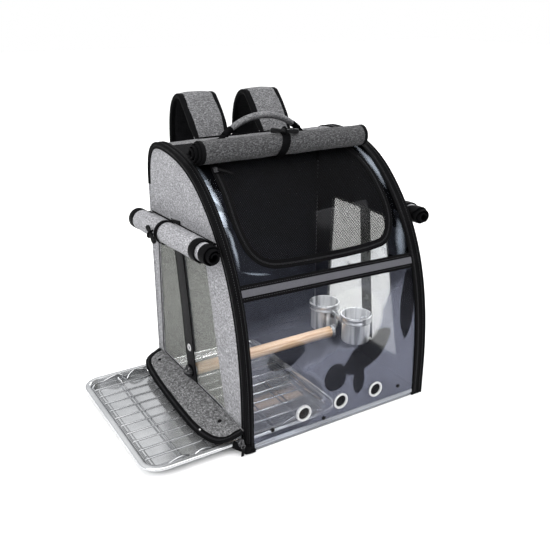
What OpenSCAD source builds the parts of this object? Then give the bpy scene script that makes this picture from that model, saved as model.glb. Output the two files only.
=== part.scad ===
/* [Body] */
// Width of the soft body over its side panels
body_w = 344; // [320:1:380]
// Thickness of the side, top and back fabric panels
panel_t = 2.5; // [1.5:0.1:3]
// Thickness of the stiff base board
base_t = 4; // [3:0.5:4]
// Width of the zip band on the front, beside the clear panels
band_front_w = 16; // [10:1:22]
// Width of the zip band on the side panel, at the foot
band_side_w = 12.5; // [8:0.5:16]

/* [Mesh door] */
// Half width of the mesh door
door_hw = 141; // [110:1:146]
// Height of the mesh door, measured straight across
door_h = 176; // [140:1:178]
// Width of the black zip frame around the mesh
door_frame_w = 13; // [8:1:20]

/* [Tray] */
// Length of the tray, across the carrier
tray_l = 338; // [300:1:338]
// Width of the tray, front to back
tray_w = 300; // [260:1:300]
// Height of the tray rim above the surface it stands on
tray_top = 18; // [14:0.5:18]
// How far the tray stands out of the body in the modelled pose
tray_out = 153; // [120:1:160]
// Wire diameter of the rack
wire_d = 3; // [2:0.5:4]
// Number of long wires inside the rack's outline
rack_wires = 10; // [6:1:12]

/* [Perch and cups] */
// Radius of the wooden perch
perch_r = 10; // [7:0.5:10]
// Height of the perch axis above the ground
perch_z = 57; // [50:1:62]
// Inside radius of a cup
cup_r = 25.5; // [20:0.5:25.5]
// Height of a cup
cup_h = 52; // [35:1:55]

/* [Covers and straps] */
// Radius of the rolled front cover
roll_r = 17.5; // [12:0.5:17.5]
// Radius of the rolled side covers
side_roll_r = 17; // [12:0.5:17]
// Width of the shoulder strap pads
strap_w = 60; // [45:1:64]
// Thickness of the shoulder strap pads
strap_t = 12; // [6:1:14]
// Height of the top of the carrying handle above the ground
handle_top = 458; // [445:1:470]

/* [Hidden] */
$fn = 48;

hw = body_w / 2;
fy = -160.5;
by = 159.5;

// Side profile of the body, as [y, z]: upright front foot, long curved front, rounded back top edge, upright back
function bz(p, t) = pow(1 - t, 3) * p[0] + 3 * pow(1 - t, 2) * t * p[1] + 3 * (1 - t) * t * t * p[2] + t * t * t * p[3];
C1 = [[fy, 45], [fy, 195], [-126, 278], [-73, 337]];
C2 = [[-73, 337], [-38, 376], [5, 413], [98, 417]];
C3 = [[98, 417], [140, 418], [by, 405], [by, 345]];
P = concat([[fy, 0], [fy, 20]], [for (i = [0 : 13]) bz(C1, i / 14)], [for (i = [0 : 11]) bz(C2, i / 12)],
  [for (i = [0 : 8]) bz(C3, i / 8)], [[by, 200], [by, 0]]);
NP = len(P);
// index of the last profile point that belongs to the curved part of the back edge
IB = NP - 3;
// outward normal at profile point i
function tang(i) = P[min(i + 1, NP - 1)] - P[max(i - 1, 0)];
function nrm(i) = let (t = i <= 2 ? [0, 1] : i >= IB ? [0, -1] : tang(i)) [-t[1], t[0]] / norm(t);
function off(i, d) = P[i] + d * nrm(i);
function strip(i0, i1, d0, d1) = concat([for (i = [i0 : i1]) off(i, d1)], [for (i = [i1 : -1 : i0]) off(i, d0)]);
// width of the zip band on the side panel, narrowing from the foot to the back top edge
function side_w(i) = i < 16 ? band_side_w : max(6, band_side_w - (i - 15) * 0.4);

// extrude a [y, z] outline along X
module ex(x0, x1) translate([x0, 0, 0]) rotate([90, 0, 90]) linear_extrude(x1 - x0) children();
module slab(x0, y0, z0, x1, y1, z1) translate([x0, y0, z0]) cube([x1 - x0, y1 - y0, z1 - z0]);
// rectangle with round corners, exact
module rr(x0, y0, x1, y1, r) {
  translate([x0 + r, y0]) square([x1 - x0 - 2 * r, y1 - y0]);
  translate([x0, y0 + r]) square([x1 - x0, y1 - y0 - 2 * r]);
  for (x = [x0 + r, x1 - r]) for (y = [y0 + r, y1 - r]) translate([x, y]) circle(r);
}
module rod(p, q, r) {
  v = q - p;
  translate(p) rotate([0, acos(v[2] / norm(v)), atan2(v[1], v[0])]) cylinder(r = r, h = norm(v));
}
// rod along X
module xrod(x0, x1, y, z, r) translate([x0, y, z]) rotate([0, 90, 0]) cylinder(r = r, h = x1 - x0);

// ---------- shell ----------
module base_board() color("#26262a") slab(-hw + panel_t + 0.2, fy + 1.2, 0, hw - panel_t - 0.2, by - panel_t - 0.2, base_t);

module back_panel() color("#8b8d92") slab(-hw + panel_t + 0.2, by - panel_t, 0, hw - panel_t - 0.2, by, 344.8);

module top_panel() color("#8b8d92") intersection() {
  ex(-hw + panel_t + 0.2, hw - panel_t - 0.2) polygon(strip(15, IB, -panel_t, 0));
  slab(-400, 32, 345, 400, 200, 500);
}

// window outline in [y, z]; e grows it
function win(y_back, z_low, e) = concat(
  [for (i = [0 : 6]) let (t = i / 6) [-96 * (1 - t) * (1 - t) - 144 * (1 - t) * t - 40 * t * t - e, (z_low - e) * (1 - t) * (1 - t) + 300 * (1 - t) * t + (284 + e) * t * t]],
  [[y_back - 8 + e, 284 + e], [y_back + e, z_low - e]]);
left_win_back = 139;
right_win_back = 112;
win_low = 40;

module side_shape() polygon([for (i = [0 : NP - 1]) off(i, -0.1)]);
module left_side_panel() color("#9a9ca2") difference() {
  ex(-hw, -hw + panel_t) difference() { side_shape(); polygon(win(left_win_back, win_low, 0)); }
  // slot that the tray slides through
  slab(-hw - 5, -154.5, -1, -hw + 10, 151.5, 34);
}
module right_side_panel() color("#9a9ca2")
  ex(hw - panel_t, hw) difference() { side_shape(); polygon(win(right_win_back, win_low, 0)); }

// black zip band: a flat ring on the side face and a flange that wraps onto the front and top
module zip_band_side() polygon(concat([for (i = [0 : IB]) off(i, 1.2)], [for (i = [IB : -1 : 0]) off(i, -side_w(i))]));
module zip_band_left() {
  ex(-hw - 1.3, -hw - 0.1) zip_band_side();
  ex(-hw - 1.3, -hw + band_front_w) polygon(strip(0, IB, 0.1, 1.2));
}
module left_zip_band() color("#161618") difference() {
  zip_band_left();
  slab(-hw - 5, -154.5, -1, -hw + 10, 151.5, 34);
}
module right_zip_band() color("#161618") mirror([1, 0, 0]) zip_band_left();

// springy hoop inside each curved edge
module hoop() ex(-hw + panel_t + 0.2, -hw + panel_t + 6.2) intersection() {
  polygon(strip(0, IB, -5.2, -3.2));
  translate([-300, base_t + 0.2]) square([700, 500]);
}
module left_hoop() color("#3a3a3c") hoop();
module right_hoop() color("#3a3a3c") mirror([1, 0, 0]) hoop();

perch_y = 18;
module left_window_film() color([0.62, 0.66, 0.62, 0.5]) difference() {
  ex(-hw + panel_t + 0.2, -hw + panel_t + 0.9) polygon(win(left_win_back, win_low, 5));
  xrod(-hw - 5, -hw + 10, perch_y, perch_z, 3.4);
}
module right_window_film() color([0.7, 0.72, 0.7, 0.5]) difference() {
  ex(hw - panel_t - 0.9, hw - panel_t - 0.2) polygon(win(right_win_back, win_low, 5));
  xrod(hw - 10, hw + 5, wall_y, wall_z, 2.9);
}

// webbing straps that hang over the windows, with two fixing heights
function web_c(t) = [54 * (1 - t) * (1 - t) + 2 * 34 * (1 - t) * t + 14 * t * t, 303 * (1 - t) + 42 * t];
module web(c, w) polygon(concat([for (i = [0 : 10]) c[i] - [w / 2, 0]], [for (i = [10 : -1 : 0]) c[i] + [w / 2, 0]]));
module left_webbing() color("#1b1b1d") difference() {
  ex(-hw - 1.9, -hw - 0.4) web([for (i = [0 : 10]) web_c(i / 10)], 32);
  xrod(-hw - 5, -hw + 10, perch_y, perch_z, 3.4);
  xrod(-hw - 5, -hw + 10, 22.5, 97, 4.2);
}
wall_y = -10;
wall_z = 82;
module right_webbing() color("#1b1b1d") difference() {
  ex(hw + 0.4, hw + 1.9) web([for (i = [0 : 10]) [18 - 28 * i / 10, 303 - 26 * i]], 28);
  xrod(hw - 10, hw + 5, wall_y, wall_z, 2.9);
  xrod(hw - 10, hw + 5, -3, 119, 4.2);
}
module grommet(s, y, z) difference() {
  union() {
    xrod(s * (hw + 2.6) - 0.6, s * (hw + 2.6) + 0.6, y, z, 6.4);
    xrod(s * (hw + 1.4) - 1.4, s * (hw + 1.4) + 1.4, y, z, 4.1);
  }
  xrod(s * hw - 10, s * hw + 10, y, z, 3.1);
}
module webbing_eyelets() color("#e4e5e6") { grommet(-1, 22.5, 97); grommet(1, -3, 119); }

// ---------- front ----------
vent_x = [-70, 0, 70];
vent_z = 36;
module front_clear_lower() color([0.55, 0.6, 0.68, 0.45]) difference() {
  ex(-hw + panel_t + 0.2, hw - panel_t - 0.2) intersection() {
    polygon(strip(0, 15, -1, 0));
    translate([-300, 7]) square([600, 229]);
  }
  for (x = vent_x) translate([x, fy - 10, vent_z]) rotate([-90, 0, 0]) cylinder(r = 12.2, h = 30);
  for (q = rivet_xz) translate([q[0], fy - 10, q[1]]) rotate([-90, 0, 0]) cylinder(r = 1.6, h = 30);
}
module reflective_band() color("#77787c") ex(-hw + band_front_w + 0.3, hw - band_front_w - 0.3) intersection() {
  polygon(strip(0, 15, 0.1, 1.4));
  translate([-300, 230]) square([600, 24]);
}
// mesh door: cut square to the chord of the curved front
door_c = [0, -62.5, 328];
door_a = 47.1;
// large round corners at the foot of the door, small ones at its top
module door_shape(e) {
  intersection() { rr(-door_hw - e, -door_h / 2 - e, door_hw + e, door_h / 2 + e, 42 + e); translate([-300, -300]) square([600, 300]); }
  intersection() { rr(-door_hw - e, -door_h / 2 - e, door_hw + e, door_h / 2 + e, 20 + e); translate([-300, -0.01]) square([600, 300]); }
}
module door_cut(e) translate(door_c) rotate([door_a, 0, 0]) translate([0, 0, -60]) linear_extrude(120) door_shape(e);
module front_clear_upper() color([0.6, 0.66, 0.74, 0.45]) difference() {
  intersection() {
    ex(-hw + panel_t + 0.2, hw - panel_t - 0.2) polygon(strip(10, 26, -1, 0));
    slab(-400, -200, 237, 400, 31.5, 500);
  }
  door_cut(-7);
}
module door_mesh() color("#2a2a2c") intersection() {
  ex(-200, 200) polygon(strip(10, 24, 0.5, 1.3));
  door_cut(-door_frame_w);
}
module door_zip_frame() color("#141416") difference() {
  intersection() {
    ex(-200, 200) polygon(strip(10, 24, 0.3, 2.3));
    door_cut(0);
  }
  door_cut(-door_frame_w + 0.2);
}
// zip slider at the top left corner of the door, moving down the straight of the left side
sl_q = bz(C2, 0.5);
sl_p = [-door_hw + 6.5, sl_q[0], sl_q[1]];
sl_a = 30.5;
module door_slider() color("#0f0f10") translate(sl_p) rotate([sl_a, 0, 0]) {
  slab(-4, -5, 3.2, 4, 5, 5.2);
  translate([0, 0, 5.1]) cylinder(r = 1.5, h = 2.2);
}
module door_pull() color("#2c2c2e") translate(sl_p) rotate([sl_a, 0, 0]) translate([0, 0, 5.6]) rotate([0, 0, -34]) difference() {
  union() { cylinder(r = 3.4, h = 1.5); slab(0, -2.2, 0, 27, 2.2, 1.5); translate([27, 0, 0]) cylinder(r = 2.2, h = 1.5); }
  translate([0, 0, -1]) cylinder(r = 1.8, h = 4);
}

module vent_eyelets() color("#e9eaeb") for (x = vent_x) translate([x, fy, vent_z]) rotate([-90, 0, 0]) difference() {
  union() {
    translate([0, 0, -2.4]) cylinder(r = 14.7, h = 2.2);
    translate([0, 0, -1]) cylinder(r = 12, h = 3);
    translate([0, 0, 1.3]) cylinder(r = 14.7, h = 1.2);
  }
  translate([0, 0, -5]) cylinder(r = 9.4, h = 12);
}
module vent_mesh() color("#2e2e30") for (x = vent_x) translate([x, fy - 0.2, vent_z]) rotate([-90, 0, 0]) cylinder(r = 9.3, h = 0.8);
rivet_xz = [[-126, 25], [-32, 15], [119, 27]];
module film_rivets() color("#1a1a1a") for (q = rivet_xz) translate([q[0], fy, q[1]]) rotate([-90, 0, 0]) {
  translate([0, 0, -1.6]) cylinder(r = 3.2, h = 1.5);
  translate([0, 0, -0.3]) cylinder(r = 1.5, h = 1.6);
  translate([0, 0, 1.1]) cylinder(r = 3.2, h = 1.0);
}

// ---------- rolled covers ----------
front_roll_c = [3, 417.4];
module front_cover_roll() color("#77797d") {
  xrod(-156, 148, front_roll_c[0], front_roll_c[1], roll_r);
  // inner turns stand out at the left end
  xrod(-166, -155, front_roll_c[0], front_roll_c[1], roll_r - 6.5);
}
// elastic loop, lying at a slant round the roll
module front_roll_loop() color("#111112") intersection() {
  difference() {
    xrod(-40, 20, front_roll_c[0], front_roll_c[1], roll_r + 1.5);
    xrod(-42, 22, front_roll_c[0], front_roll_c[1], roll_r + 0.2);
  }
  translate([-14.5, front_roll_c[0], front_roll_c[1]]) rotate([0, 20, 0]) cube([13, 90, 90], center = true);
}
// bar toggle on the loop, 110 degrees round from the back of the roll
module front_toggle() color("#0d0d0e") translate([-10, front_roll_c[0] + 23.4 * cos(110), front_roll_c[1] + 23.4 * sin(110)]) rotate([20, 0, 0]) rotate([0, 0, -14])
  rotate([0, 90, 0]) translate([0, 0, -23]) cylinder(r = 4, h = 46);
// side rolls: slightly lower at the back
sr_a = [-192.44, -81, 296.74];
sr_b = [-198.6, 151, 288.53];
sr_u = (sr_b - sr_a) / norm(sr_b - sr_a);
module side_roll() {
  rod(sr_a, sr_b, side_roll_r);
  // inner turns stand out at the front end
  rod(sr_a - 26 * sr_u, sr_a + sr_u, side_roll_r - 3);
  rod(sr_a - 34 * sr_u, sr_a - 25 * sr_u, side_roll_r - 6);
  // edge of the cover, stitched to the side above the window
  slab(-hw - 3.4, -76, 292, -hw - 2.1, 148, 305);
  slab(-hw - 15.6, -76, 297, -hw - 2.1, 148, 299);
}
module side_loop() difference() {
  rod(sr_a + 118 * sr_u, sr_a + 129 * sr_u, side_roll_r + 1.9);
  rod(sr_a + 110 * sr_u, sr_a + 137 * sr_u, side_roll_r + 0.3);
  slab(-hw - 16, -77, 296.7, -hw - 1.9, 149, 299.3);
}
// bar toggle on the outer face of the roll
tg_c = [-218.8, 47, 292.2];
module side_toggle() translate(tg_c) rotate([-53.13, 0, 0]) translate([0, 0, -17]) cylinder(r = 3.4, h = 34);
module left_cover_roll() color("#8f9196") side_roll();
module right_cover_roll() color("#8f9196") mirror([1, 0, 0]) side_roll();
module left_roll_loop() color("#111112") side_loop();
module right_roll_loop() color("#111112") mirror([1, 0, 0]) side_loop();
module left_toggle() color("#0d0d0e") side_toggle();
module right_toggle() color("#0d0d0e") mirror([1, 0, 0]) side_toggle();

// ---------- perch and cups ----------
perch_end = 112;
module perch_dowel() color("#d9b48c") difference() {
  xrod(-hw + 5, perch_end, perch_y, perch_z, perch_r);
  xrod(-hw, -hw + 36, perch_y, perch_z, 2.8);
  xrod(perch_end - 22, perch_end + 1, perch_y, perch_z, 2.0);
}
module perch_bolt() color("#b9bbbd") xrod(-hw - 13, -hw + 34, perch_y, perch_z, 2.7);
module perch_washer() color("#c8cacc") difference() {
  xrod(-hw + 3.6, -hw + 4.8, perch_y, perch_z, 8);
  xrod(-hw, -hw + 10, perch_y, perch_z, 3);
}
module perch_knob() color("#0e0e0f") translate([-hw - 2.2, perch_y, perch_z]) rotate([0, -90, 0]) difference() {
  rotate_extrude() difference() {
    union() { square([7, 14]); translate([0, 2.5]) square([9.5, 7.5]); translate([7, 5]) circle(3.9); }
    translate([-20, -20]) square([20, 60]);
    translate([0, -10]) square([20, 10]);
  }
  translate([0, 0, -1]) cylinder(r = 2.76, h = 12.2);
}
cf = [136.5, -20];
cr = [121, 57];
ring_z = 92.8;
cup_top = 101;
module perch_bracket() color("#bfc1c3") difference() {
  union() {
    slab(perch_end + 0.2, 10, 47, perch_end + 2.2, 26, 96);
  }
  xrod(perch_end - 5, perch_end + 5, perch_y, perch_z, 2.3);
  xrod(perch_end - 5, perch_end + 5, perch_y, 88, 2.3);
}
module ring(c, r0, r1, z0, z1) translate([c[0], c[1], z0]) difference() {
  cylinder(r = r1, h = z1 - z0);
  translate([0, 0, -1]) cylinder(r = r0, h = z1 - z0 + 2);
}
module cup_ring_front() color("#c4c6c8") difference() {
  union() {
    ring(cf, cup_r + 1.5, cup_r + 3.2, ring_z - 5, ring_z + 6);
    // link to the perch bracket
    slab(perch_end + 2.4, 0, 82, perch_end + 4, 25, 94);
    slab(perch_end + 2.4, -2, 82, perch_end + 8, 0, 94);
    // tab to the right wall
    slab(cf[0] + 12, wall_y - 7.6, wall_z - 8, hw - 4.2, wall_y - 6, wall_z + 8);
    slab(hw - 5.8, wall_y - 7.6, wall_z - 8, hw - 4.2, wall_y + 8, wall_z + 8);
  }
  translate([cf[0], cf[1], 60]) cylinder(r = cup_r + 1.5, h = 60);
  xrod(perch_end - 5, perch_end + 12, perch_y, 88, 2.3);
  xrod(hw - 10, hw + 10, wall_y, wall_z, 2.9);
}
module cup_ring_rear() color("#c4c6c8") difference() {
  union() {
    ring(cr, cup_r + 1.5, cup_r + 3.2, ring_z - 5, ring_z + 6);
    slab(perch_end + 4.2, 10, 82, perch_end + 5.8, 32, 94);
  }
  translate([cr[0], cr[1], 60]) cylinder(r = cup_r + 1.5, h = 60);
  xrod(perch_end - 5, perch_end + 12, perch_y, 88, 2.3);
}
module cup_clamp_bolt() color("#1c1c1d") {
  xrod(perch_end - 3.6, perch_end + 8, perch_y, 88, 2.2);
  xrod(perch_end + 6, perch_end + 9.5, perch_y, 88, 4.5);
  xrod(perch_end - 3.8, perch_end, perch_y, 88, 4.5);
  xrod(perch_end - 20, perch_end + 4, perch_y, perch_z, 1.95);
  xrod(perch_end + 2.4, perch_end + 6, perch_y, perch_z, 4.6);
}
module wall_screw() color("#161617") {
  xrod(hw - 8.2, hw + 8, wall_y, wall_z, 2.6);
  xrod(hw - 8.5, hw - 6.1, wall_y, wall_z, 5.2);
}
module cup(c) translate([c[0], c[1], cup_top - cup_h]) difference() {
  union() {
    cylinder(r = cup_r + 0.8, h = cup_h);
    translate([0, 0, cup_h - 2]) cylinder(r = cup_r + 2.6, h = 2);
  }
  translate([0, 0, 0.8]) cylinder(r = cup_r, h = cup_h);
}
module cup_front() color("#c9cbcd") cup(cf);
module cup_rear() color("#c9cbcd") cup(cr);

// ---------- tray ----------
tx0 = -hw - tray_out;
tx1 = tx0 + tray_l;
ty0 = -2 - tray_w / 2;
ty1 = ty0 + tray_w;
tz0 = base_t + 0.3;
module trr(i, r, z0, z1) translate([0, 0, z0]) linear_extrude(z1 - z0) rr(tx0 + i, ty0 + i, tx1 - i, ty1 - i, r - i);
module tray() color("#b9bcbf") {
  difference() {
    union() { trr(9, 30, tz0, tray_top); trr(0, 30, tray_top - 1, tray_top); }
    trr(10, 30, tz0 + 1, tray_top + 1);
  }
  difference() { trr(0, 30, tray_top - 4.5, tray_top - 0.5); trr(1, 30, tray_top - 6, tray_top + 2); }
}
rx0 = tx0 + 13; rx1 = tx1 - 13; ry0 = ty0 + 13; ry1 = ty1 - 13;
rz = 11; rr_c = 15;
module wire_rack() color("#d2d4d6") {
  r = wire_d / 2;
  for (y = [ry0, ry1]) rod([rx0 + rr_c, y, rz], [rx1 - rr_c, y, rz], r);
  for (x = [rx0, rx1]) rod([x, ry0 + rr_c, rz], [x, ry1 - rr_c, rz], r);
  for (a = [[rx1 - rr_c, ry1 - rr_c, 0], [rx0 + rr_c, ry1 - rr_c, 90], [rx0 + rr_c, ry0 + rr_c, 180], [rx1 - rr_c, ry0 + rr_c, 270]])
    translate([a[0], a[1], rz]) rotate([0, 0, a[2]]) rotate_extrude(angle = 90) translate([rr_c, 0]) circle(r);
  for (i = [1 : rack_wires]) let (y = ry0 + (ry1 - ry0) * i / (rack_wires + 1)) rod([rx0, y, rz], [rx1, y, rz], r);
  for (x = [rx0 + 55, rx1 - 55]) rod([x, ry0, rz - wire_d + 0.6], [x, ry1, rz - wire_d + 0.6], r);
  for (x = [rx0 + 55, rx1 - 55]) for (y = [ry0 + 30, ry1 - 30]) rod([x, y, tz0 + 1.1], [x, y, rz], r);
}

// ---------- tray flap ----------
fl_h = [-hw - 3.2, 37.5];
fl_a = 15;
fl_l = 50;
module flap_plate(e, z0, z1) translate([fl_h[0], 0, fl_h[1]]) rotate([0, -fl_a, 0]) translate([0, 0, z0]) linear_extrude(z1 - z0)
  difference() { rr(-fl_l + e, -156 + e, 40, 154 - e, 26 - e); translate([-1, -300]) square([100, 600]); }
module tray_flap() color("#808288") difference() {
  flap_plate(0, -1.2, 1.3);
  for (q = flap_rv) flap_rivet_at(q) translate([0, 0, -5]) cylinder(r = 1.6, h = 10);
}
flap_rv = [[-15, 118], [-15, -112]];
module flap_rivet_at(q) translate([fl_h[0], 0, fl_h[1]]) rotate([0, -fl_a, 0]) translate([q[0], q[1], 0]) children();
module flap_rivets() color("#1a1a1a") for (q = flap_rv) flap_rivet_at(q) {
  translate([0, 0, -1.0]) cylinder(r = 1.5, h = 3);
  translate([0, 0, 1.4]) cylinder(r = 3.2, h = 1.4);
}
fs = [-hw - 9, -161.8, 24];
module flap_slider() color("#101011") {
  slab(fs[0] - 4.5, fs[1] - 2.5, fs[2] - 5, fs[0] + 4.5, fs[1] + 3.5, fs[2] + 5);
  translate([fs[0], fs[1] - 5.2, fs[2] - 3]) rotate([-90, 0, 0]) cylinder(r = 1.4, h = 4);
}
module flap_pull() color("#1a1a1b") difference() {
  union() {
    translate([fs[0], fs[1] - 5, fs[2] - 3]) rotate([-90, 0, 0]) cylinder(r = 3.4, h = 1.8);
    slab(fs[0] - 2.4, fs[1] - 5, fs[2] - 20.5, fs[0] + 2.4, fs[1] - 3.2, fs[2] - 3);
  }
  translate([fs[0], fs[1] - 8, fs[2] - 3]) rotate([-90, 0, 0]) cylinder(r = 1.7, h = 8);
}

// ---------- handle ----------
hy = 80; hz = 425; hr = 6;
hs = handle_top - hr - hz;
hx = 70;
hR = (hx * hx + hs * hs) / (2 * hs);
h_ang = asin(hx / hR);
module arc(a0, a1, r) translate([0, hy, hz + hs - hR]) rotate([90, 0, 0]) rotate([0, 0, a0]) rotate_extrude(angle = a1 - a0, $fn = 96) translate([hR, 0]) circle(r, $fn = 24);
module carry_handle() color("#8a8c91") arc(90 - h_ang + 15, 90 + h_ang - 15, hr);
module handle_sleeves() color("#141415") {
  arc(90 - h_ang, 90 - h_ang + 14.8, hr - 0.5);
  arc(90 + h_ang - 14.8, 90 + h_ang, hr - 0.5);
}
module handle_anchors() color("#141415") for (s = [0, 1]) mirror([s, 0, 0]) translate([hx + 14, hy, 0]) {
  slab(-9, -9, 417, 9, 9, 418.6);
  slab(-9, -1.5, 418.4, -7.4, 1.5, hz);
  translate([-9, 0, hz]) rotate([0, 90, 0]) cylinder(r = 3, h = 1.6);
}

// ---------- shoulder straps ----------
// centre line of the pad in [y, z]
S1 = [[136, 411.5], [150, 445], [159, 478], [180, 474.5]];
S2 = [[180, 474.5], [216, 468.5], [243, 456], [242, 360]];
S3 = [[242, 360], [236, 280], [214, 210], [190, 152]];
SP = concat([for (i = [0 : 5]) bz(S1, i / 6)], [for (i = [0 : 6]) bz(S2, i / 7)], [for (i = [0 : 7]) bz(S3, i / 7)]);
NS = len(SP);
function sn(i) = let (t = SP[min(i + 1, NS - 1)] - SP[max(i - 1, 0)]) [-t[1], t[0]] / norm(t);
module pad_line(t) polygon(concat([for (i = [0 : NS - 1]) SP[i] + sn(i) * t / 2], [for (i = [NS - 1 : -1 : 0]) SP[i] - sn(i) * t / 2]));
strap_x = 63;
module strap_pad(x) ex(x - strap_w / 2, x + strap_w / 2) pad_line(strap_t);
module left_strap_pad() color("#85878c") strap_pad(-strap_x);
module right_strap_pad() color("#85878c") strap_pad(strap_x);
// lower webbing, from the adjuster to the foot of the back panel
module lower_web(x) ex(x - 12.5, x + 12.5) polygon([[182.6, 137], [184.4, 136.4], [172, 70], [161.6, 30], [159.7, 30], [159.7, 44], [170.2, 70.4]]);
module left_strap_webbing() color("#1b1b1d") lower_web(-strap_x);
module right_strap_webbing() color("#1b1b1d") lower_web(strap_x);
module strap_adjusters() color("#101011") for (x = [-strap_x, strap_x]) translate([x, 186.4, 143.4]) rotate([-22, 0, 0]) difference() {
  slab(-17, -3, -5.5, 17, 3, 4.2);
}

base_board();
back_panel();
top_panel();
left_side_panel();
right_side_panel();
left_zip_band();
right_zip_band();
left_hoop();
right_hoop();
left_window_film();
right_window_film();
left_webbing();
right_webbing();
webbing_eyelets();
front_clear_upper();
front_clear_lower();
reflective_band();
vent_eyelets();
vent_mesh();
film_rivets();
door_mesh();
door_zip_frame();
door_slider();
door_pull();
front_cover_roll();
front_roll_loop();
front_toggle();
left_cover_roll();
left_roll_loop();
left_toggle();
right_cover_roll();
right_roll_loop();
right_toggle();
perch_dowel();
perch_bolt();
perch_washer();
perch_knob();
perch_bracket();
cup_ring_front();
cup_ring_rear();
cup_clamp_bolt();
wall_screw();
cup_front();
cup_rear();
tray();
wire_rack();
tray_flap();
flap_rivets();
flap_slider();
flap_pull();
carry_handle();
handle_sleeves();
handle_anchors();
left_strap_pad();
right_strap_pad();
left_strap_webbing();
right_strap_webbing();
strap_adjusters();
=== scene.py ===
import bpy
import math
import numpy as np
from mathutils import Vector, Matrix
from mathutils.geometry import delaunay_2d_cdt


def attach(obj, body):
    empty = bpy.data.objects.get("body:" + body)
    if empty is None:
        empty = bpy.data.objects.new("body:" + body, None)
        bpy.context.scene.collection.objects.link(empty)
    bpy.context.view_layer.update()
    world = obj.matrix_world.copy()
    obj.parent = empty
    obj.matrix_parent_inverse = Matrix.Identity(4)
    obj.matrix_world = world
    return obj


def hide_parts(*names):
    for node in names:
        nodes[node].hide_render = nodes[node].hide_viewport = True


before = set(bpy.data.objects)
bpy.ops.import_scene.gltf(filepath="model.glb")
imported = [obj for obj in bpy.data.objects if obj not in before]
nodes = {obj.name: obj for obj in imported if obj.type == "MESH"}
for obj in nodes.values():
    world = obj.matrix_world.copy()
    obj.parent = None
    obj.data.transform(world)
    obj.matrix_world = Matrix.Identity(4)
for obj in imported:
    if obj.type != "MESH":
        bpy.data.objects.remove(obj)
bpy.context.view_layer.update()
rng = np.random.default_rng(7)

# ------------------------------------------------------------------
# body profile in millimetres, as in the construction model
# ------------------------------------------------------------------
HW, FY, BY = 172.0, -160.5, 159.5


def bez(p, t):
    p = np.asarray(p, float)
    t = np.atleast_1d(t)[:, None]
    return (1 - t) ** 3 * p[0] + 3 * (1 - t) ** 2 * t * p[1] + 3 * (1 - t) * t * t * p[2] + t ** 3 * p[3]


C1 = [[FY, 45], [FY, 195], [-126, 278], [-73, 337]]
C2 = [[-73, 337], [-38, 376], [5, 413], [98, 417]]
C3 = [[98, 417], [140, 418], [BY, 405], [BY, 345]]
_t = np.linspace(0, 1, 90)
PR = np.vstack([[[FY, 0]], bez(C1, _t), bez(C2, _t)[1:], bez(C3, _t)[1:], [[BY, 0]]])
PS = np.concatenate([[0], np.cumsum(np.linalg.norm(np.diff(PR, axis=0), axis=1))])
_tan = np.gradient(PR, axis=0)
_tan[0] = [0, 1]
_tan[-1] = [0, -1]
_tan /= np.linalg.norm(_tan, axis=1)[:, None]
PT = _tan


def prof(s):
    s = np.asarray(s, float)
    return np.stack([np.interp(s, PS, PR[:, 0]), np.interp(s, PS, PR[:, 1])], -1)


def ptan(s):
    s = np.asarray(s, float)
    t = np.stack([np.interp(s, PS, PT[:, 0]), np.interp(s, PS, PT[:, 1])], -1)
    return t / np.linalg.norm(t, axis=-1, keepdims=True)


def pnor(s):
    t = ptan(s)
    return np.stack([-t[..., 1], t[..., 0]], -1)


def s_at_z(z):
    i = PR[:, 1].argmax()
    return float(np.interp(z, PR[:i, 1], PS[:i]))


def s_at_y(y):
    i0, i1 = 91, len(PR) - 2
    return float(np.interp(y, PR[i0:i1, 0], PS[i0:i1]))


S_BACK = PS[-2]          # where the back edge turns upright, z = 345
S_END = PS[-1]


def on_front(x, s, d=0.0):
    x, s, d = np.broadcast_arrays(np.asarray(x, float), np.asarray(s, float), np.asarray(d, float))
    p, n = prof(s), pnor(s)
    return np.stack([x, p[..., 0] + n[..., 0] * d, p[..., 1] + n[..., 1] * d], -1)


def smooth_noise(p, scale, seed=0):
    """sum of a few fixed sine waves: smooth, repeatable variation from -1 to 1"""
    r = np.random.default_rng(100 + seed)
    p = np.asarray(p, float) / scale
    out = np.zeros(p.shape[:-1])
    for k in range(5):
        d = r.normal(size=p.shape[-1])
        d /= np.linalg.norm(d)
        out += np.sin(p @ d * (1.0 + 0.7 * k) * 2 * math.pi + r.uniform(0, 6.28)) / (1 + 0.6 * k)
    return out / 2.6


# ------------------------------------------------------------------
# mesh helpers (all input in millimetres)
# ------------------------------------------------------------------
def mesh(name, verts, faces, mat, smooth=True, uv=None):
    me = bpy.data.meshes.new(name)
    v = (np.asarray(verts, float) * 0.001).tolist()
    me.from_pydata(v, [], [list(map(int, f)) for f in faces])
    me.validate(verbose=False)
    me.update()
    if smooth:
        me.shade_smooth()
    ob = bpy.data.objects.new(name, me)
    bpy.context.scene.collection.objects.link(ob)
    if not isinstance(mat, (list, tuple)):
        mat = [mat]
    for m in mat:
        me.materials.append(m)
    return ob


def grid_faces(nu, nv, cu=False, cv=False, base=0):
    f = []
    for i in range(nu if cu else nu - 1):
        for j in range(nv if cv else nv - 1):
            a = i * nv + j
            b = ((i + 1) % nu) * nv + j
            c = ((i + 1) % nu) * nv + (j + 1) % nv
            d = i * nv + (j + 1) % nv
            f.append((base + a, base + b, base + c, base + d))
    return f


def add_solid(ob, t, offset=0.0, rim=True):
    m = ob.modifiers.new("thick", "SOLIDIFY")
    m.thickness = t * 0.001
    m.offset = offset
    m.use_rim = rim
    m.use_even_offset = True
    return ob


def add_bevel(ob, w, seg=2, ang=35):
    m = ob.modifiers.new("edge", "BEVEL")
    m.width = w * 0.001
    m.segments = seg
    m.limit_method = "ANGLE"
    m.angle_limit = math.radians(ang)
    m.harden_normals = False
    return ob


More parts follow.
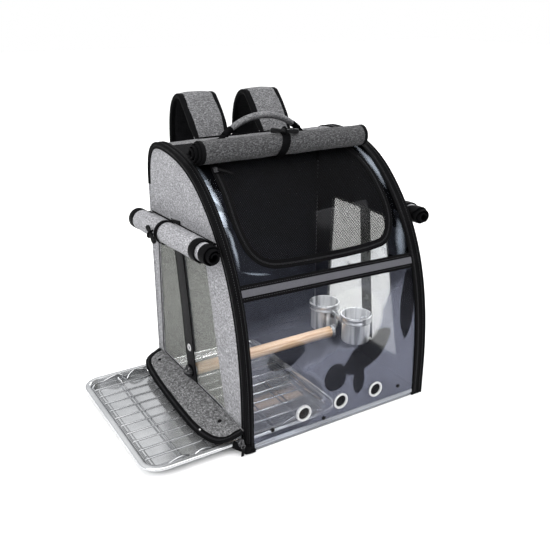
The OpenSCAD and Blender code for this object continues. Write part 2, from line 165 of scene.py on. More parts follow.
def add_subsurf(ob, lv=1):
    m = ob.modifiers.new("sub", "SUBSURF")
    m.levels = lv
    m.render_levels = lv
    return ob


def join(name, obs):
    """joins made pieces into one object, after their modifiers are applied"""
    dg = bpy.context.evaluated_depsgraph_get()
    vs, fs, mi, mats, sm = [], [], [], [], []
    base = 0
    for o in obs:
        dg.update()
        e = o.evaluated_get(dg)
        me = e.to_mesh()
        n = len(me.vertices)
        co = np.zeros(n * 3)
        me.vertices.foreach_get("co", co)
        M = np.array(o.matrix_world)
        co = co.reshape(-1, 3) @ M[:3, :3].T + M[:3, 3]
        vs.append(co)
        lut = []
        for m in o.data.materials:
            if m not in mats:
                mats.append(m)
            lut.append(mats.index(m))
        for p in me.polygons:
            fs.append([base + v for v in p.vertices])
            mi.append(lut[p.material_index] if lut else 0)
            sm.append(p.use_smooth)
        base += n
        e.to_mesh_clear()
    me = bpy.data.meshes.new(name)
    me.from_pydata(np.vstack(vs).tolist(), [], fs)
    for m in mats:
        me.materials.append(m)
    me.polygons.foreach_set("material_index", mi)
    me.polygons.foreach_set("use_smooth", sm)
    me.update()
    for o in obs:
        d = o.data
        bpy.data.objects.remove(o)
        bpy.data.meshes.remove(d)
    ob = bpy.data.objects.new(name, me)
    bpy.context.scene.collection.objects.link(ob)
    return ob


def frames(path, closed=False, up=None):
    p = np.asarray(path, float)
    n = len(p)
    if closed:
        t = np.roll(p, -1, 0) - np.roll(p, 1, 0)
    else:
        t = np.gradient(p, axis=0)
    t /= np.linalg.norm(t, axis=1)[:, None] + 1e-12
    if up is not None:
        u = np.broadcast_to(np.asarray(up, float), p.shape).copy()
        u -= (u * t).sum(1)[:, None] * t
        u /= np.linalg.norm(u, axis=1)[:, None]
    else:
        a = np.array([0, 0, 1.0]) if abs(t[0][2]) < 0.9 else np.array([1.0, 0, 0])
        u = np.zeros_like(p)
        u[0] = a - a @ t[0] * t[0]
        u[0] /= np.linalg.norm(u[0])
        for i in range(1, n):
            v = u[i - 1] - u[i - 1] @ t[i] * t[i]
            u[i] = v / np.linalg.norm(v)
    w = np.cross(t, u)
    return t, u, w


def sweep(name, path, section, mat, closed=False, up=None, cap=True, scale=None, closed_section=True):
    """sweeps a section (list of (w, u)) along a path; scale may vary along it"""
    p = np.asarray(path, float)
    t, u, w = frames(p, closed, up)
    sec = np.asarray(section, float)
    sc = np.ones(len(p)) if scale is None else np.asarray(scale, float)
    v = p[:, None, :] + (w[:, None, :] * sec[None, :, :1] + u[:, None, :] * sec[None, :, 1:2]) * sc[:, None, None]
    nu, nv = len(p), len(sec)
    f = grid_faces(nu, nv, closed, closed_section)
    vv = v.reshape(-1, 3)
    if cap and not closed and closed_section:
        f.append(list(range(nv))[::-1])
        f.append([(nu - 1) * nv + k for k in range(nv)])
    return mesh(name, vv, f, mat)


def circle_sec(r, n=12, rx=None):
    a = np.linspace(0, 2 * math.pi, n, endpoint=False)
    return np.stack([(rx or r) * np.cos(a), r * np.sin(a)], -1)


def box_sec(w, h, r=0.4, n=3):
    """rounded rectangle section, w along first axis"""
    pts = []
    r = min(r, w / 2 - 1e-3, h / 2 - 1e-3)
    for cx, cy, a0 in ((w / 2 - r, h / 2 - r, 0), (-w / 2 + r, h / 2 - r, 90), (-w / 2 + r, -h / 2 + r, 180), (w / 2 - r, -h / 2 + r, 270)):
        for k in range(n + 1):
            a = math.radians(a0 + 90 * k / n)
            pts.append((cx + r * math.cos(a), cy + r * math.sin(a)))
    return pts


def tube(name, path, r, mat, n=12, closed=False, up=None):
    return sweep(name, path, circle_sec(r, n), mat, closed=closed, up=up)


def lathe(name, profile, origin, axis, mat, seg=48, close=False):
    """profile: (radius, height) list from bottom to top; revolved about axis through origin"""
    a = Vector(axis).normalized()
    q = a.to_track_quat("Z", "Y").to_matrix()
    q = np.array(q)
    pr = np.asarray(profile, float)
    ang = np.linspace(0, 2 * math.pi, seg, endpoint=False)
    v = []
    for r, h in pr:
        v.append(np.stack([r * np.cos(ang), r * np.sin(ang), np.full(seg, h)], -1))
    v = np.vstack(v) @ q.T + np.asarray(origin, float)
    f = []
    n = len(pr)
    for i in range(n if close else n - 1):
        for j in range(seg):
            b = ((i + 1) % n)
            f.append((i * seg + j, i * seg + (j + 1) % seg, b * seg + (j + 1) % seg, b * seg + j))
    if not close:
        if pr[0][0] > 1e-6:
            f.append([j for j in range(seg)][::-1])
        if pr[-1][0] > 1e-6:
            f.append([(n - 1) * seg + j for j in range(seg)])
    ob = mesh(name, v, f, mat)
    m = ob.modifiers.new("weld", "WELD")
    m.merge_threshold = 0.00002
    return ob


def blob_grid(outline, holes, step):
    """triangulates a 2-D outline with holes, with a regular lattice inside"""
    def dens(poly):
        out = []
        poly = [np.asarray(q, float) for q in poly]
        for a, b in zip(poly, poly[1:] + poly[:1]):
            n = max(1, int(round(np.linalg.norm(b - a) / step)))
            for k in range(n):
                out.append(a + (b - a) * k / n)
        return out
    loops = [dens(outline)] + [dens(h) for h in holes]
    pts, edges = [], []
    for lp in loops:
        b = len(pts)
        pts += lp
        edges += [(b + i, b + (i + 1) % len(lp)) for i in range(len(lp))]
    al = np.array(pts)

    def inside(q, lp):
        lp = np.asarray(lp)
        x, y = q[:, 0][:, None], q[:, 1][:, None]
        x0, y0 = lp[:, 0][None], lp[:, 1][None]
        x1, y1 = np.roll(lp[:, 0], -1)[None], np.roll(lp[:, 1], -1)[None]
        c = ((y0 > y) != (y1 > y)) & (x < (x1 - x0) * (y - y0) / (y1 - y0 + 1e-12) + x0)
        return c.sum(1) % 2 == 1
    lo, hi = al.min(0), al.max(0)
    gx, gy = np.meshgrid(np.arange(lo[0] + step / 2, hi[0], step), np.arange(lo[1] + step / 2, hi[1], step))
    q = np.stack([gx.ravel(), gy.ravel()], -1)
    keep = inside(q, loops[0])
    for h in loops[1:]:
        keep &= ~inside(q, h)
    q = q[keep]
    d = np.full(len(q), 1e9)
    for k in range(0, len(al), 200):
        d = np.minimum(d, np.sqrt(((q[:, None] - al[None, k:k + 200]) ** 2).sum(-1)).min(1))
    q = q[d > step * 0.45]
    allp = [Vector(p) for p in pts] + [Vector(p) for p in q]
    v, e, f, _, _, _ = delaunay_2d_cdt(allp, edges, [], 0, 1e-5)
    v = np.array([tuple(a) for a in v])
    f = [list(t) for t in f]
    cen = np.array([v[t].mean(0) for t in f])
    ok = inside(cen, loops[0])
    for h in loops[1:]:
        ok &= ~inside(cen, h)
    f = [t for t, k in zip(f, ok) if k]
    used = sorted(set(i for t in f for i in t))
    lut = {a: i for i, a in enumerate(used)}
    return v[used], [[lut[i] for i in t] for t in f]


def rrect(x0, y0, x1, y1, rb, rt=None, n=10):
    rt = rb if rt is None else rt
    out = []
    for cx, cy, a0, r in ((x1 - rb, y0 + rb, 270, rb), (x1 - rt, y1 - rt, 0, rt), (x0 + rt, y1 - rt, 90, rt), (x0 + rb, y0 + rb, 180, rb)):
        for k in range(n + 1):
            a = math.radians(a0 + 90 * k / n)
            out.append((cx + r * math.cos(a), cy + r * math.sin(a)))
    return out


# ------------------------------------------------------------------
# materials
# ------------------------------------------------------------------
def base_mat(name):
    m = bpy.data.materials.new(name)
    m.use_nodes = True
    nt = m.node_tree
    nt.nodes.clear()
    out = nt.nodes.new("ShaderNodeOutputMaterial")
    b = nt.nodes.new("ShaderNodeBsdfPrincipled")
    nt.links.new(b.outputs[0], out.inputs[0])
    tc = nt.nodes.new("ShaderNodeTexCoord")
    return m, nt, b, out, tc


def mapping(nt, tc, scale=(1, 1, 1), rot=(0, 0, 0)):
    mp = nt.nodes.new("ShaderNodeMapping")
    mp.inputs["Scale"].default_value = scale
    mp.inputs["Rotation"].default_value = rot
    nt.links.new(tc.outputs["Object"], mp.inputs[0])
    return mp


def noise_tex(nt, vec, scale, detail=2, rough=0.5):
    n = nt.nodes.new("ShaderNodeTexNoise")
    n.inputs["Scale"].default_value = scale
    n.inputs["Detail"].default_value = detail
    n.inputs["Roughness"].default_value = rough
    nt.links.new(vec, n.inputs["Vector"])
    return n


def wave_tex(nt, vec, scale, axis="X", dist=0.0, dscale=1.0):
    n = nt.nodes.new("ShaderNodeTexWave")
    n.bands_direction = axis
    n.inputs["Scale"].default_value = scale
    n.inputs["Distortion"].default_value = dist
    n.inputs["Detail Scale"].default_value = dscale
    nt.links.new(vec, n.inputs["Vector"])
    return n


def ramp(nt, fac, stops):
    r = nt.nodes.new("ShaderNodeValToRGB")
    cr = r.color_ramp
    while len(cr.elements) > 1:
        cr.elements.remove(cr.elements[0])
    cr.elements[0].position, cr.elements[0].color = stops[0][0], (*stops[0][1], 1)
    for p, c in stops[1:]:
        e = cr.elements.new(p)
        e.color = (*c, 1)
    nt.links.new(fac, r.inputs[0])
    return r


def math_node(nt, op, a, b):
    n = nt.nodes.new("ShaderNodeMath")
    n.operation = op
    for i, v in enumerate((a, b)):
        if isinstance(v, (int, float)):
            n.inputs[i].default_value = v
        else:
            nt.links.new(v, n.inputs[i])
    return n.outputs[0]


def mixc(nt, fac, a, b, mode="MIX"):
    n = nt.nodes.new("ShaderNodeMix")
    n.data_type = "RGBA"
    n.blend_type = mode
    for s, v in ((n.inputs[0], fac), (n.inputs[6], a), (n.inputs[7], b)):
        if isinstance(v, (int, float)):
            s.default_value = v
        elif isinstance(v, tuple):
            s.default_value = (*v, 1)
        else:
            nt.links.new(v, s)
    return n.outputs[2]


def bump(nt, b, height, strength, dist):
    n = nt.nodes.new("ShaderNodeBump")
    n.inputs["Strength"].default_value = strength
    n.inputs["Distance"].default_value = dist
    nt.links.new(height, n.inputs["Height"])
    nt.links.new(n.outputs[0], b.inputs["Normal"])
    return n


def melange(name, dark, mid, light, size=1.0, spread=1.0):
    """heather grey woven fabric: light and dark yarn dashes along both thread directions"""
    m, nt, b, out, tc = base_mat(name)
    a = mapping(nt, tc, (0.42, 0.42, 1.5))
    c = mapping(nt, tc, (1.5, 1.5, 0.5))
    n1 = noise_tex(nt, a.outputs[0], 560 / size, 1.5, 0.6)
    n2 = noise_tex(nt, c.outputs[0], 560 / size, 1.5, 0.6)
    n3 = noise_tex(nt, tc.outputs["Object"], 30, 2, 0.5)
    n4 = noise_tex(nt, tc.outputs["Object"], 1500, 1, 0.5)
    s = math_node(nt, "ADD", math_node(nt, "MULTIPLY", n1.outputs[0], 0.5), math_node(nt, "MULTIPLY", n2.outputs[0], 0.5))
    s = math_node(nt, "ADD", s, math_node(nt, "MULTIPLY", math_node(nt, "SUBTRACT", n4.outputs[0], 0.5), 0.12))
    w = 0.075 * spread
    r = ramp(nt, s, [(0.5 - 1.6 * w, dark), (0.5 - 0.3 * w, tuple(0.8 * x for x in mid)), (0.5 + 0.5 * w, mid), (0.5 + 1.7 * w, light)])
    k = mixc(nt, ramp(nt, n3.outputs[0], [(0.3, (0, 0, 0)), (0.75, (0.16, 0.16, 0.16))]).outputs[0], r.outputs[0], tuple(x * 0.7 for x in mid))
    nt.links.new(k, b.inputs["Base Color"])
    w1 = wave_tex(nt, tc.outputs["Object"], 420, "X", 1.5, 3)
    w2 = wave_tex(nt, tc.outputs["Object"], 420, "Z", 1.5, 3)
    w3 = wave_tex(nt, tc.outputs["Object"], 420, "Y", 1.5, 3)
    h = math_node(nt, "ADD", math_node(nt, "MAXIMUM", w1.outputs["Fac"], w2.outputs["Fac"]), math_node(nt, "MULTIPLY", w3.outputs["Fac"], 0.6))
    h = math_node(nt, "ADD", h, math_node(nt, "MULTIPLY", s, 2.5))
    bump(nt, b, h, 0.5, 0.0006)
    b.inputs["Roughness"].default_value = 0.95
    b.inputs["Specular IOR Level"].default_value = 0.15
    b.inputs["Sheen Weight"].default_value = 0.06
    b.inputs["Sheen Roughness"].default_value = 0.5
    return m


def binding(name, c0=(0.0015, 0.0015, 0.0018), c1=(0.0045, 0.0045, 0.0049), rib="Z", scale=260, rough=0.6, bumpd=0.0004, spec=0.03):
    """woven edge tape: fine ribs, a little dust and wear"""
    m, nt, b, out, tc = base_mat(name)
    n1 = noise_tex(nt, tc.outputs["Object"], 900, 2, 0.6)
    n2 = noise_tex(nt, tc.outputs["Object"], 35, 3, 0.5)
    s = math_node(nt, "ADD", math_node(nt, "MULTIPLY", n1.outputs[0], 0.5), math_node(nt, "MULTIPLY", n2.outputs[0], 0.5))
    r = ramp(nt, s, [(0.35, c0), (0.68, c1)])
    nt.links.new(r.outputs[0], b.inputs["Base Color"])
    w1 = wave_tex(nt, tc.outputs["Object"], scale, rib, 0.4, 2)
    w2 = wave_tex(nt, tc.outputs["Object"], scale * 1.1, "Y" if rib != "Y" else "X", 0.4, 2)
    h = math_node(nt, "ADD", math_node(nt, "MULTIPLY", w1.outputs["Fac"], 0.7), math_node(nt, "MULTIPLY", w2.outputs["Fac"], 0.5))
    bump(nt, b, math_node(nt, "ADD", h, n1.outputs[0]), 0.4, bumpd)
    rr_ = ramp(nt, n2.outputs[0], [(0.3, (rough - 0.1,) * 3), (0.7, (rough + 0.12,) * 3)])
    nt.links.new(rr_.outputs[0], b.inputs["Roughness"])
    b.inputs["Specular IOR Level"].default_value = spec
    return m


def plastic(name, c=(0.004, 0.004, 0.0044), rough=0.3, spec=0.07):
    m, nt, b, out, tc = base_mat(name)
    n1 = noise_tex(nt, tc.outputs["Object"], 400, 3, 0.6)
    r = ramp(nt, n1.outputs[0], [(0.3, tuple(x * 0.8 for x in c)), (0.7, tuple(x * 1.5 for x in c))])
    nt.links.new(r.outputs[0], b.inputs["Base Color"])
    rr_ = ramp(nt, n1.outputs[0], [(0.3, (rough * 0.85,) * 3), (0.7, (rough * 1.25,) * 3)])
    nt.links.new(rr_.outputs[0], b.inputs["Roughness"])
    b.inputs["Specular IOR Level"].default_value = spec
    bump(nt, b, n1.outputs[0], 0.12, 0.0002)
    return m


def steel(name, c0=(0.5, 0.51, 0.52), c1=(0.72, 0.73, 0.74), rough=0.2, streak=(1, 1, 60), metal=1.0):
    m, nt, b, out, tc = base_mat(name)
    mp = mapping(nt, tc, streak)
    n1 = noise_tex(nt, mp.outputs[0], 90, 3, 0.6)
    n2 = noise_tex(nt, tc.outputs["Object"], 30, 3, 0.5)
    r = ramp(nt, n2.outputs[0], [(0.3, c0), (0.7, c1)])
    nt.links.new(r.outputs[0], b.inputs["Base Color"])
    s = math_node(nt, "ADD", math_node(nt, "MULTIPLY", n1.outputs[0], 0.5), math_node(nt, "MULTIPLY", n2.outputs[0], 0.5))
    rr_ = ramp(nt, s, [(0.3, (rough * 0.7,) * 3), (0.7, (rough * 1.5,) * 3)])
    nt.links.new(rr_.outputs[0], b.inputs["Roughness"])
    b.inputs["Metallic"].default_value = metal
    bump(nt, b, n1.outputs[0], 0.06, 0.0003)
    return m


def cup_steel(name):
    """spun stainless cup: upright light and dark bands painted into the colour as reflection, soft shine"""
    m, nt, b, out, tc = base_mat(name)
    n1 = noise_tex(nt, mapping(nt, tc, (1, 1, 0.06)).outputs[0], 75, 1.5, 0.5)
    n2 = noise_tex(nt, mapping(nt, tc, (1, 1, 14)).outputs[0], 120, 2, 0.6)
    # painted reflection: the light and dark bands in the colour stand in for the surroundings the cup would mirror
    r = ramp(nt, n1.outputs[0], [(0.34, (0.20, 0.205, 0.21)), (0.42, (0.72, 0.73, 0.74)), (0.52, (1.0, 1.0, 1.0)), (0.60, (0.88, 0.89, 0.9)), (0.68, (0.34, 0.345, 0.35))])
    nt.links.new(r.outputs[0], b.inputs["Base Color"])
    rr_ = ramp(nt, n2.outputs[0], [(0.3, (0.14,) * 3), (0.7, (0.26,) * 3)])
    nt.links.new(rr_.outputs[0], b.inputs["Roughness"])
    b.inputs["Metallic"].default_value = 0.42
    bump(nt, b, n2.outputs[0], 0.05, 0.0002)
    return m


def patches(nt, tc, items, wob=0.012):
    """how far inside the nearest soft ellipse a point is; each is (x, z, half length, half width, degrees), seen from the front"""
    d = noise_tex(nt, tc.outputs["Object"], 26, 2, 0.5)
    a = nt.nodes.new("ShaderNodeVectorMath")
    a.operation = "MULTIPLY_ADD"
    nt.links.new(d.outputs[1], a.inputs[0])
    a.inputs[1].default_value = (wob, wob, wob)
    b = nt.nodes.new("ShaderNodeVectorMath")
    b.operation = "SUBTRACT"
    nt.links.new(tc.outputs["Object"], b.inputs[0])
    b.inputs[1].default_value = (wob / 2, wob / 2, wob / 2)
    nt.links.new(b.outputs[0], a.inputs[2])
    best = None
    for x, z, hl, hw_, deg in items:
        mp = nt.nodes.new("ShaderNodeMapping")
        mp.vector_type = "TEXTURE"
        mp.inputs["Location"].default_value = (x, 0, z)
        mp.inputs["Rotation"].default_value = (0, -math.radians(deg), 0)
        mp.inputs["Scale"].default_value = (hl, 1000, hw_)
        nt.links.new(a.outputs[0], mp.inputs[0])
        g = nt.nodes.new("ShaderNodeTexGradient")
        g.gradient_type = "SPHERICAL"
        nt.links.new(mp.outputs[0], g.inputs[0])
        best = g.outputs[1] if best is None else math_node(nt, "MAXIMUM", best, g.outputs[1])
    return best


def film(name, tint, base, rough=0.03, gain=1.0, haze=0.01, metal=0.85, streak=None, dark=None, bright=None, clear=None):
    """clear vinyl: see-through, with a mirror-like face that grows at shallow angles and a little haze. dark, bright
    and clear lay painted reflection on it: dark patches, highlight streaks in the streak colour, and patches where the
    mirror face is turned down
    """
    m, nt, b, out, tc = base_mat(name)
    n1 = noise_tex(nt, tc.outputs["Object"], 9, 2, 0.5)
    n2 = noise_tex(nt, tc.outputs["Object"], 14, 1, 0.5)
    stops = [(0.3, tuple(x * 0.92 for x in base)), (0.7, tuple(min(1, x * 1.04) for x in base))]
    r = ramp(nt, n1.outputs[0], stops)
    col, painted_glint_gain = r.outputs[0], None
    if dark:
        # painted reflection: dark patches in the film's colour, standing in for dark things the film would mirror
        k = ramp(nt, patches(nt, tc, dark), [(0.10, (0.0, 0.0, 0.0)), (0.17, (0.93, 0.93, 0.93))])
        mc = nt.nodes.new("ShaderNodeMix")
        mc.data_type = "RGBA"
        nt.links.new(k.outputs[0], mc.inputs[0])
        nt.links.new(col, mc.inputs[6])
        mc.inputs[7].default_value = (0.012, 0.012, 0.014, 1)
        col = mc.outputs[2]
    if bright:
        # painted highlight: streaks in the streak colour where folds of the film would mirror the light; they also
        # raise the mirror share
        k = ramp(nt, patches(nt, tc, bright, 0.006), [(0.02, (0.0, 0.0, 0.0)), (0.28, (0.55, 0.55, 0.55)), (0.7, (1.0, 1.0, 1.0))])
        mc = nt.nodes.new("ShaderNodeMix")
        mc.data_type = "RGBA"
        nt.links.new(k.outputs[0], mc.inputs[0])
        nt.links.new(col, mc.inputs[6])
        mc.inputs[7].default_value = (*streak, 1)
        col = mc.outputs[2]
        painted_glint_gain = math_node(nt, "MULTIPLY", k.outputs[0], 0.42)
    nt.links.new(col, b.inputs["Base Color"])
    rr_ = ramp(nt, n2.outputs[0], [(0.35, (rough * 0.9,) * 3), (0.75, (rough * 1.25,) * 3)])
    nt.links.new(rr_.outputs[0], b.inputs["Roughness"])
    b.inputs["Metallic"].default_value = metal
    tr = nt.nodes.new("ShaderNodeBsdfTransparent")
    tr.inputs[0].default_value = (*tint, 1)
    lw = nt.nodes.new("ShaderNodeLayerWeight")
    lw.inputs[0].default_value = 0.34
    f = math_node(nt, "MULTIPLY", lw.outputs["Fresnel"], gain)
    hz = ramp(nt, n2.outputs[0], [(0.3, (haze * 0.8,) * 3), (0.8, (haze * 1.25,) * 3)])
    f = math_node(nt, "ADD", f, hz.outputs[0])
    if painted_glint_gain is not None:
        f = math_node(nt, "ADD", f, painted_glint_gain)
    if clear:
        # painted reflection: the mirror share is turned down in these patches, as if nothing bright stood where they
        # look, so they stay clear
        k = ramp(nt, patches(nt, tc, clear, 0.004), [(0.02, (1.0, 1.0, 1.0)), (0.16, (0.22, 0.22, 0.22))])
        f = math_node(nt, "MULTIPLY", f, k.outputs[0])
    mx = nt.nodes.new("ShaderNodeMixShader")
    nt.links.new(f, mx.inputs[0])
    nt.links.new(tr.outputs[0], mx.inputs[1])
    nt.links.new(b.outputs[0], mx.inputs[2])
    nt.links.new(mx.outputs[0], out.inputs[0])
    return m


def mesh_cloth(name, col, see, cell=420.0, tint=(0.8, 0.8, 0.8), solid=0.25, cross=False):
    """open knitted mesh: a regular lattice of holes, laid out along the cloth"""
    m, nt, b, out, tc = base_mat(name)
    n1 = noise_tex(nt, tc.outputs["Object"], 300, 2, 0.5)
    r = ramp(nt, n1.outputs[0], [(0.3, tuple(x * 0.7 for x in col)), (0.7, tuple(x * 1.4 for x in col))])
    nt.links.new(r.outputs[0], b.inputs["Base Color"])
    b.inputs["Roughness"].default_value = 0.6
    b.inputs["Specular IOR Level"].default_value = 0.05
    mp = nt.nodes.new("ShaderNodeMapping")
    mp.inputs["Rotation"].default_value = (0, 0, math.radians(45))
    nt.links.new(tc.outputs["UV"], mp.inputs[0])
    vo = nt.nodes.new("ShaderNodeTexVoronoi")
    vo.voronoi_dimensions = "2D"
    vo.inputs["Scale"].default_value = cell
    vo.inputs["Randomness"].default_value = 0.06
    nt.links.new(mp.outputs[0], vo.inputs["Vector"])
    hole = ramp(nt, vo.outputs["Distance"], [(0.12 + 0.5 * see, (0.0, 0.0, 0.0)), (0.26 + 0.5 * see, (1, 1, 1))])
    fac = math_node(nt, "ADD", math_node(nt, "MULTIPLY", hole.outputs[0], 1.0 - solid), solid)
    tr = nt.nodes.new("ShaderNodeBsdfTransparent")
    tr.inputs[0].default_value = (*tint, 1)
    mx = nt.nodes.new("ShaderNodeMixShader")
    nt.links.new(fac, mx.inputs[0])
    nt.links.new(tr.outputs[0], mx.inputs[1])
    nt.links.new(b.outputs[0], mx.inputs[2])
    nt.links.new(mx.outputs[0], out.inputs[0])
    bump(nt, b, vo.outputs["Distance"], 0.4, 0.0004)
    return m


def wood_mat(name):
    m, nt, b, out, tc = base_mat(name)
    mp = mapping(nt, tc, (0.08, 1, 1))
    w = wave_tex(nt, mp.outputs[0], 55, "Z", 6.0, 2.0)
    n = noise_tex(nt, mp.outputs[0], 500, 3, 0.6)
    s = math_node(nt, "ADD", math_node(nt, "MULTIPLY", w.outputs["Fac"], 0.35), math_node(nt, "MULTIPLY", n.outputs[0], 0.65))
    r = ramp(nt, s, [(0.25, (0.50, 0.31, 0.18)), (0.55, (0.68, 0.47, 0.30)), (0.8, (0.78, 0.60, 0.42))])
    nt.links.new(r.outputs[0], b.inputs["Base Color"])
    b.inputs["Roughness"].default_value = 0.55
    bump(nt, b, s, 0.15, 0.0004)
    return m


def twill(name):
    """heavy black webbing with a herringbone weave"""
    m, nt, b, out, tc = base_mat(name)
    n = noise_tex(nt, tc.outputs["Object"], 700, 2, 0.5)
    mp1 = nt.nodes.new("ShaderNodeMapping")
    mp1.inputs["Rotation"].default_value = (0, 0, math.radians(38))
    nt.links.new(tc.outputs["UV"], mp1.inputs[0])
    w1 = wave_tex(nt, mp1.outputs[0], 190, "X", 0.3, 2)
    mp2 = nt.nodes.new("ShaderNodeMapping")
    mp2.inputs["Rotation"].default_value = (0, 0, math.radians(-38))
    nt.links.new(tc.outputs["UV"], mp2.inputs[0])
    w2 = wave_tex(nt, mp2.outputs[0], 190, "X", 0.3, 2)
    h = math_node(nt, "MAXIMUM", w1.outputs["Fac"], w2.outputs["Fac"])
    s = math_node(nt, "ADD", math_node(nt, "MULTIPLY", h, 0.6), math_node(nt, "MULTIPLY", n.outputs[0], 0.4))
    r = ramp(nt, s, [(0.3, (0.002, 0.002, 0.0024)), (0.75, (0.009, 0.009, 0.0098))])
    nt.links.new(r.outputs[0], b.inputs["Base Color"])
    b.inputs["Roughness"].default_value = 0.65
    b.inputs["Specular IOR Level"].default_value = 0.1
    bump(nt, b, s, 0.6, 0.0007)
    return m


def pad_net(name, col, cell):
    """closed spacer mesh over foam: small dimples in rows"""
    m, nt, b, out, tc = base_mat(name)
    vo = nt.nodes.new("ShaderNodeTexVoronoi")
    vo.inputs["Scale"].default_value = cell
    vo.inputs["Randomness"].default_value = 0.1
    nt.links.new(tc.outputs["Object"], vo.inputs["Vector"])
    n = noise_tex(nt, tc.outputs["Object"], 60, 3, 0.5)
    s = math_node(nt, "ADD", math_node(nt, "MULTIPLY", vo.outputs["Distance"], 1.1), math_node(nt, "MULTIPLY", n.outputs[0], 0.3))
    # painted shade: the colour darkens into each dimple, following the same values that sink it in the bump
    r = ramp(nt, s, [(0.15, tuple(x * 0.25 for x in col)), (0.5, col), (0.85, tuple(x * 1.5 for x in col))])
    nt.links.new(r.outputs[0], b.inputs["Base Color"])
    b.inputs["Roughness"].default_value = 0.85
    b.inputs["Specular IOR Level"].default_value = 0.08
    bump(nt, b, s, 0.6, 0.0008)
    return m


def tape_mat(name):
    m, nt, b, out, tc = base_mat(name)
    w1 = wave_tex(nt, tc.outputs["Object"], 330, "X", 0.2, 1)
    n = noise_tex(nt, tc.outputs["Object"], 600, 2, 0.5)
    s = math_node(nt, "ADD", math_node(nt, "MULTIPLY", w1.outputs["Fac"], 0.4), math_node(nt, "MULTIPLY", n.outputs[0], 0.6))
    r = ramp(nt, s, [(0.3, (0.045, 0.045, 0.052)), (0.7, (0.085, 0.085, 0.096))])
    nt.links.new(r.outputs[0], b.inputs["Base Color"])
    b.inputs["Roughness"].default_value = 0.5
    b.inputs["Specular IOR Level"].default_value = 0.3
    bump(nt, b, s, 0.3, 0.0003)
    return m


M = {}
# grey_light, grey_mid, grey_dark and grey_flap are copies of one grey fabric at different brightness; the darker copies
# are painted shade for the parts that looked darker under the light
M["grey_light"] = melange("grey_light", (0.11, 0.11, 0.12), (0.275, 0.275, 0.288), (0.45, 0.45, 0.468))
M["grey_mid"] = melange("grey_mid", (0.045, 0.045, 0.048), (0.132, 0.132, 0.137), (0.26, 0.26, 0.268))
M["grey_dark"] = melange("grey_dark", (0.015, 0.015, 0.016), (0.052, 0.052, 0.054), (0.125, 0.125, 0.129))
M["black_tape"] = binding("black_tape")
M["black_web"] = binding("black_web", (0.001, 0.001, 0.0012), (0.0045, 0.0045, 0.005), "Z", 130, 0.65, 0.0008, 0.015)
M["black_cloth"] = binding("black_cloth", (0.003, 0.003, 0.0035), (0.0075, 0.0075, 0.008), "X", 500, 0.8, 0.0003, 0.05)
M["coil"] = plastic("zip_coil", (0.012, 0.012, 0.013), 0.42)
M["stitch"] = plastic("thread", (0.05, 0.05, 0.053), 0.7)
# lower sheet: its dark patches are painted reflection of dark things, and its clear patches are painted reflection
# turned down
M["film"] = film("clear_film", (0.965, 0.97, 0.98), (0.33, 0.345, 0.43), 0.02, 0.7, 0.03,
                 dark=[(-0.100, 0.140, 0.040, 0.020, 10), (-0.012, 0.080, 0.024, 0.026, 0), (0.052, 0.108, 0.062, 0.026, 28),
                       (0.035, 0.068, 0.014, 0.034, 0), (0.137, 0.168, 0.064, 0.016, 82)],
                 clear=[(0.028, 0.168, 0.062, 0.052, -8), (-0.108, 0.062, 0.085, 0.062, -8)])
# upper sheet: its near-black mirror colour keeps its reflection dark, and its bright patches paint highlight streaks in
# the streak colour
M["film_up"] = film("clear_film_upper", (0.93, 0.94, 0.965), (0.02, 0.021, 0.025), 0.02, 1.0, 0.01, streak=(0.52, 0.58, 0.66),
                    bright=[(-0.159, 0.386, 0.024, 0.010, 95), (-0.1575, 0.350, 0.040, 0.0095, 92), (-0.1535, 0.302, 0.036, 0.0040, 90),
                            (0.140, 0.266, 0.036, 0.011, 76), (0.130, 0.240, 0.020, 0.007, 25), (-0.128, 0.2635, 0.026, 0.0020, -12),
                            (0.146, 0.372, 0.034, 0.0085, 96)])
M["film_hem"] = film("film_hem", (0.80, 0.82, 0.86), (0.80, 0.83, 0.88), 0.12, 1.5, 0.22, 0.4)
M["side_film"] = mesh_cloth("side_mesh", (0.33, 0.335, 0.315), 0.66, 800, (0.97, 0.972, 0.962), 0.10)
M["mesh"] = mesh_cloth("black_mesh", (0.0025, 0.0025, 0.0028), 0.42, 420, (0.95, 0.95, 0.95), 0.06)
M["mesh_fine"] = mesh_cloth("vent_mesh", (0.02, 0.02, 0.02), 0.05, 700, (0.7, 0.7, 0.7), 0.3)
M["steel"] = steel("stainless", (0.6, 0.61, 0.62), (0.78, 0.79, 0.8), 0.2, metal=0.7)
M["steel_tray"] = steel("stainless_tray", (0.56, 0.57, 0.58), (0.66, 0.67, 0.68), 0.14, (40, 1, 1), metal=0.8)
M["wire"] = steel("bright_wire", (0.42, 0.43, 0.44), (0.56, 0.56, 0.57), 0.2, (1, 1, 1))
M["ring"] = plastic("pale_ring", (0.38, 0.38, 0.385), 0.22, 0.4)
M["plastic"] = plastic("black_plastic")
M["black_metal"] = plastic("black_metal", (0.022, 0.022, 0.024), 0.2, 0.5)
M["wood"] = wood_mat("beech")
M["tape"] = tape_mat("reflective_tape")
M["lining"] = binding("lining", (0.018, 0.019, 0.025), (0.036, 0.039, 0.052), "X", 600, 0.6, 0.0002, 0.15)
M["stitch_grey"] = plastic("thread_grey", (0.16, 0.16, 0.165), 0.7)
M["web_twill"] = twill("web_twill")
M["plastic_gloss"] = plastic("knob_plastic", (0.005, 0.005, 0.006), 0.12, 0.55)
M["steel_cup"] = cup_steel("stainless_cup")
# grey_flap: a darker copy of the same grey fabric, painted shade for the flap
M["grey_flap"] = melange("grey_flap", (0.025, 0.025, 0.026), (0.125, 0.125, 0.128), (0.30, 0.30, 0.31), 1.1)
M["back_mesh"] = pad_net("back_mesh", (0.16, 0.16, 0.165), 330)
M["pad_mesh"] = pad_net("pad_mesh", (0.0035, 0.0035, 0.004), 330)

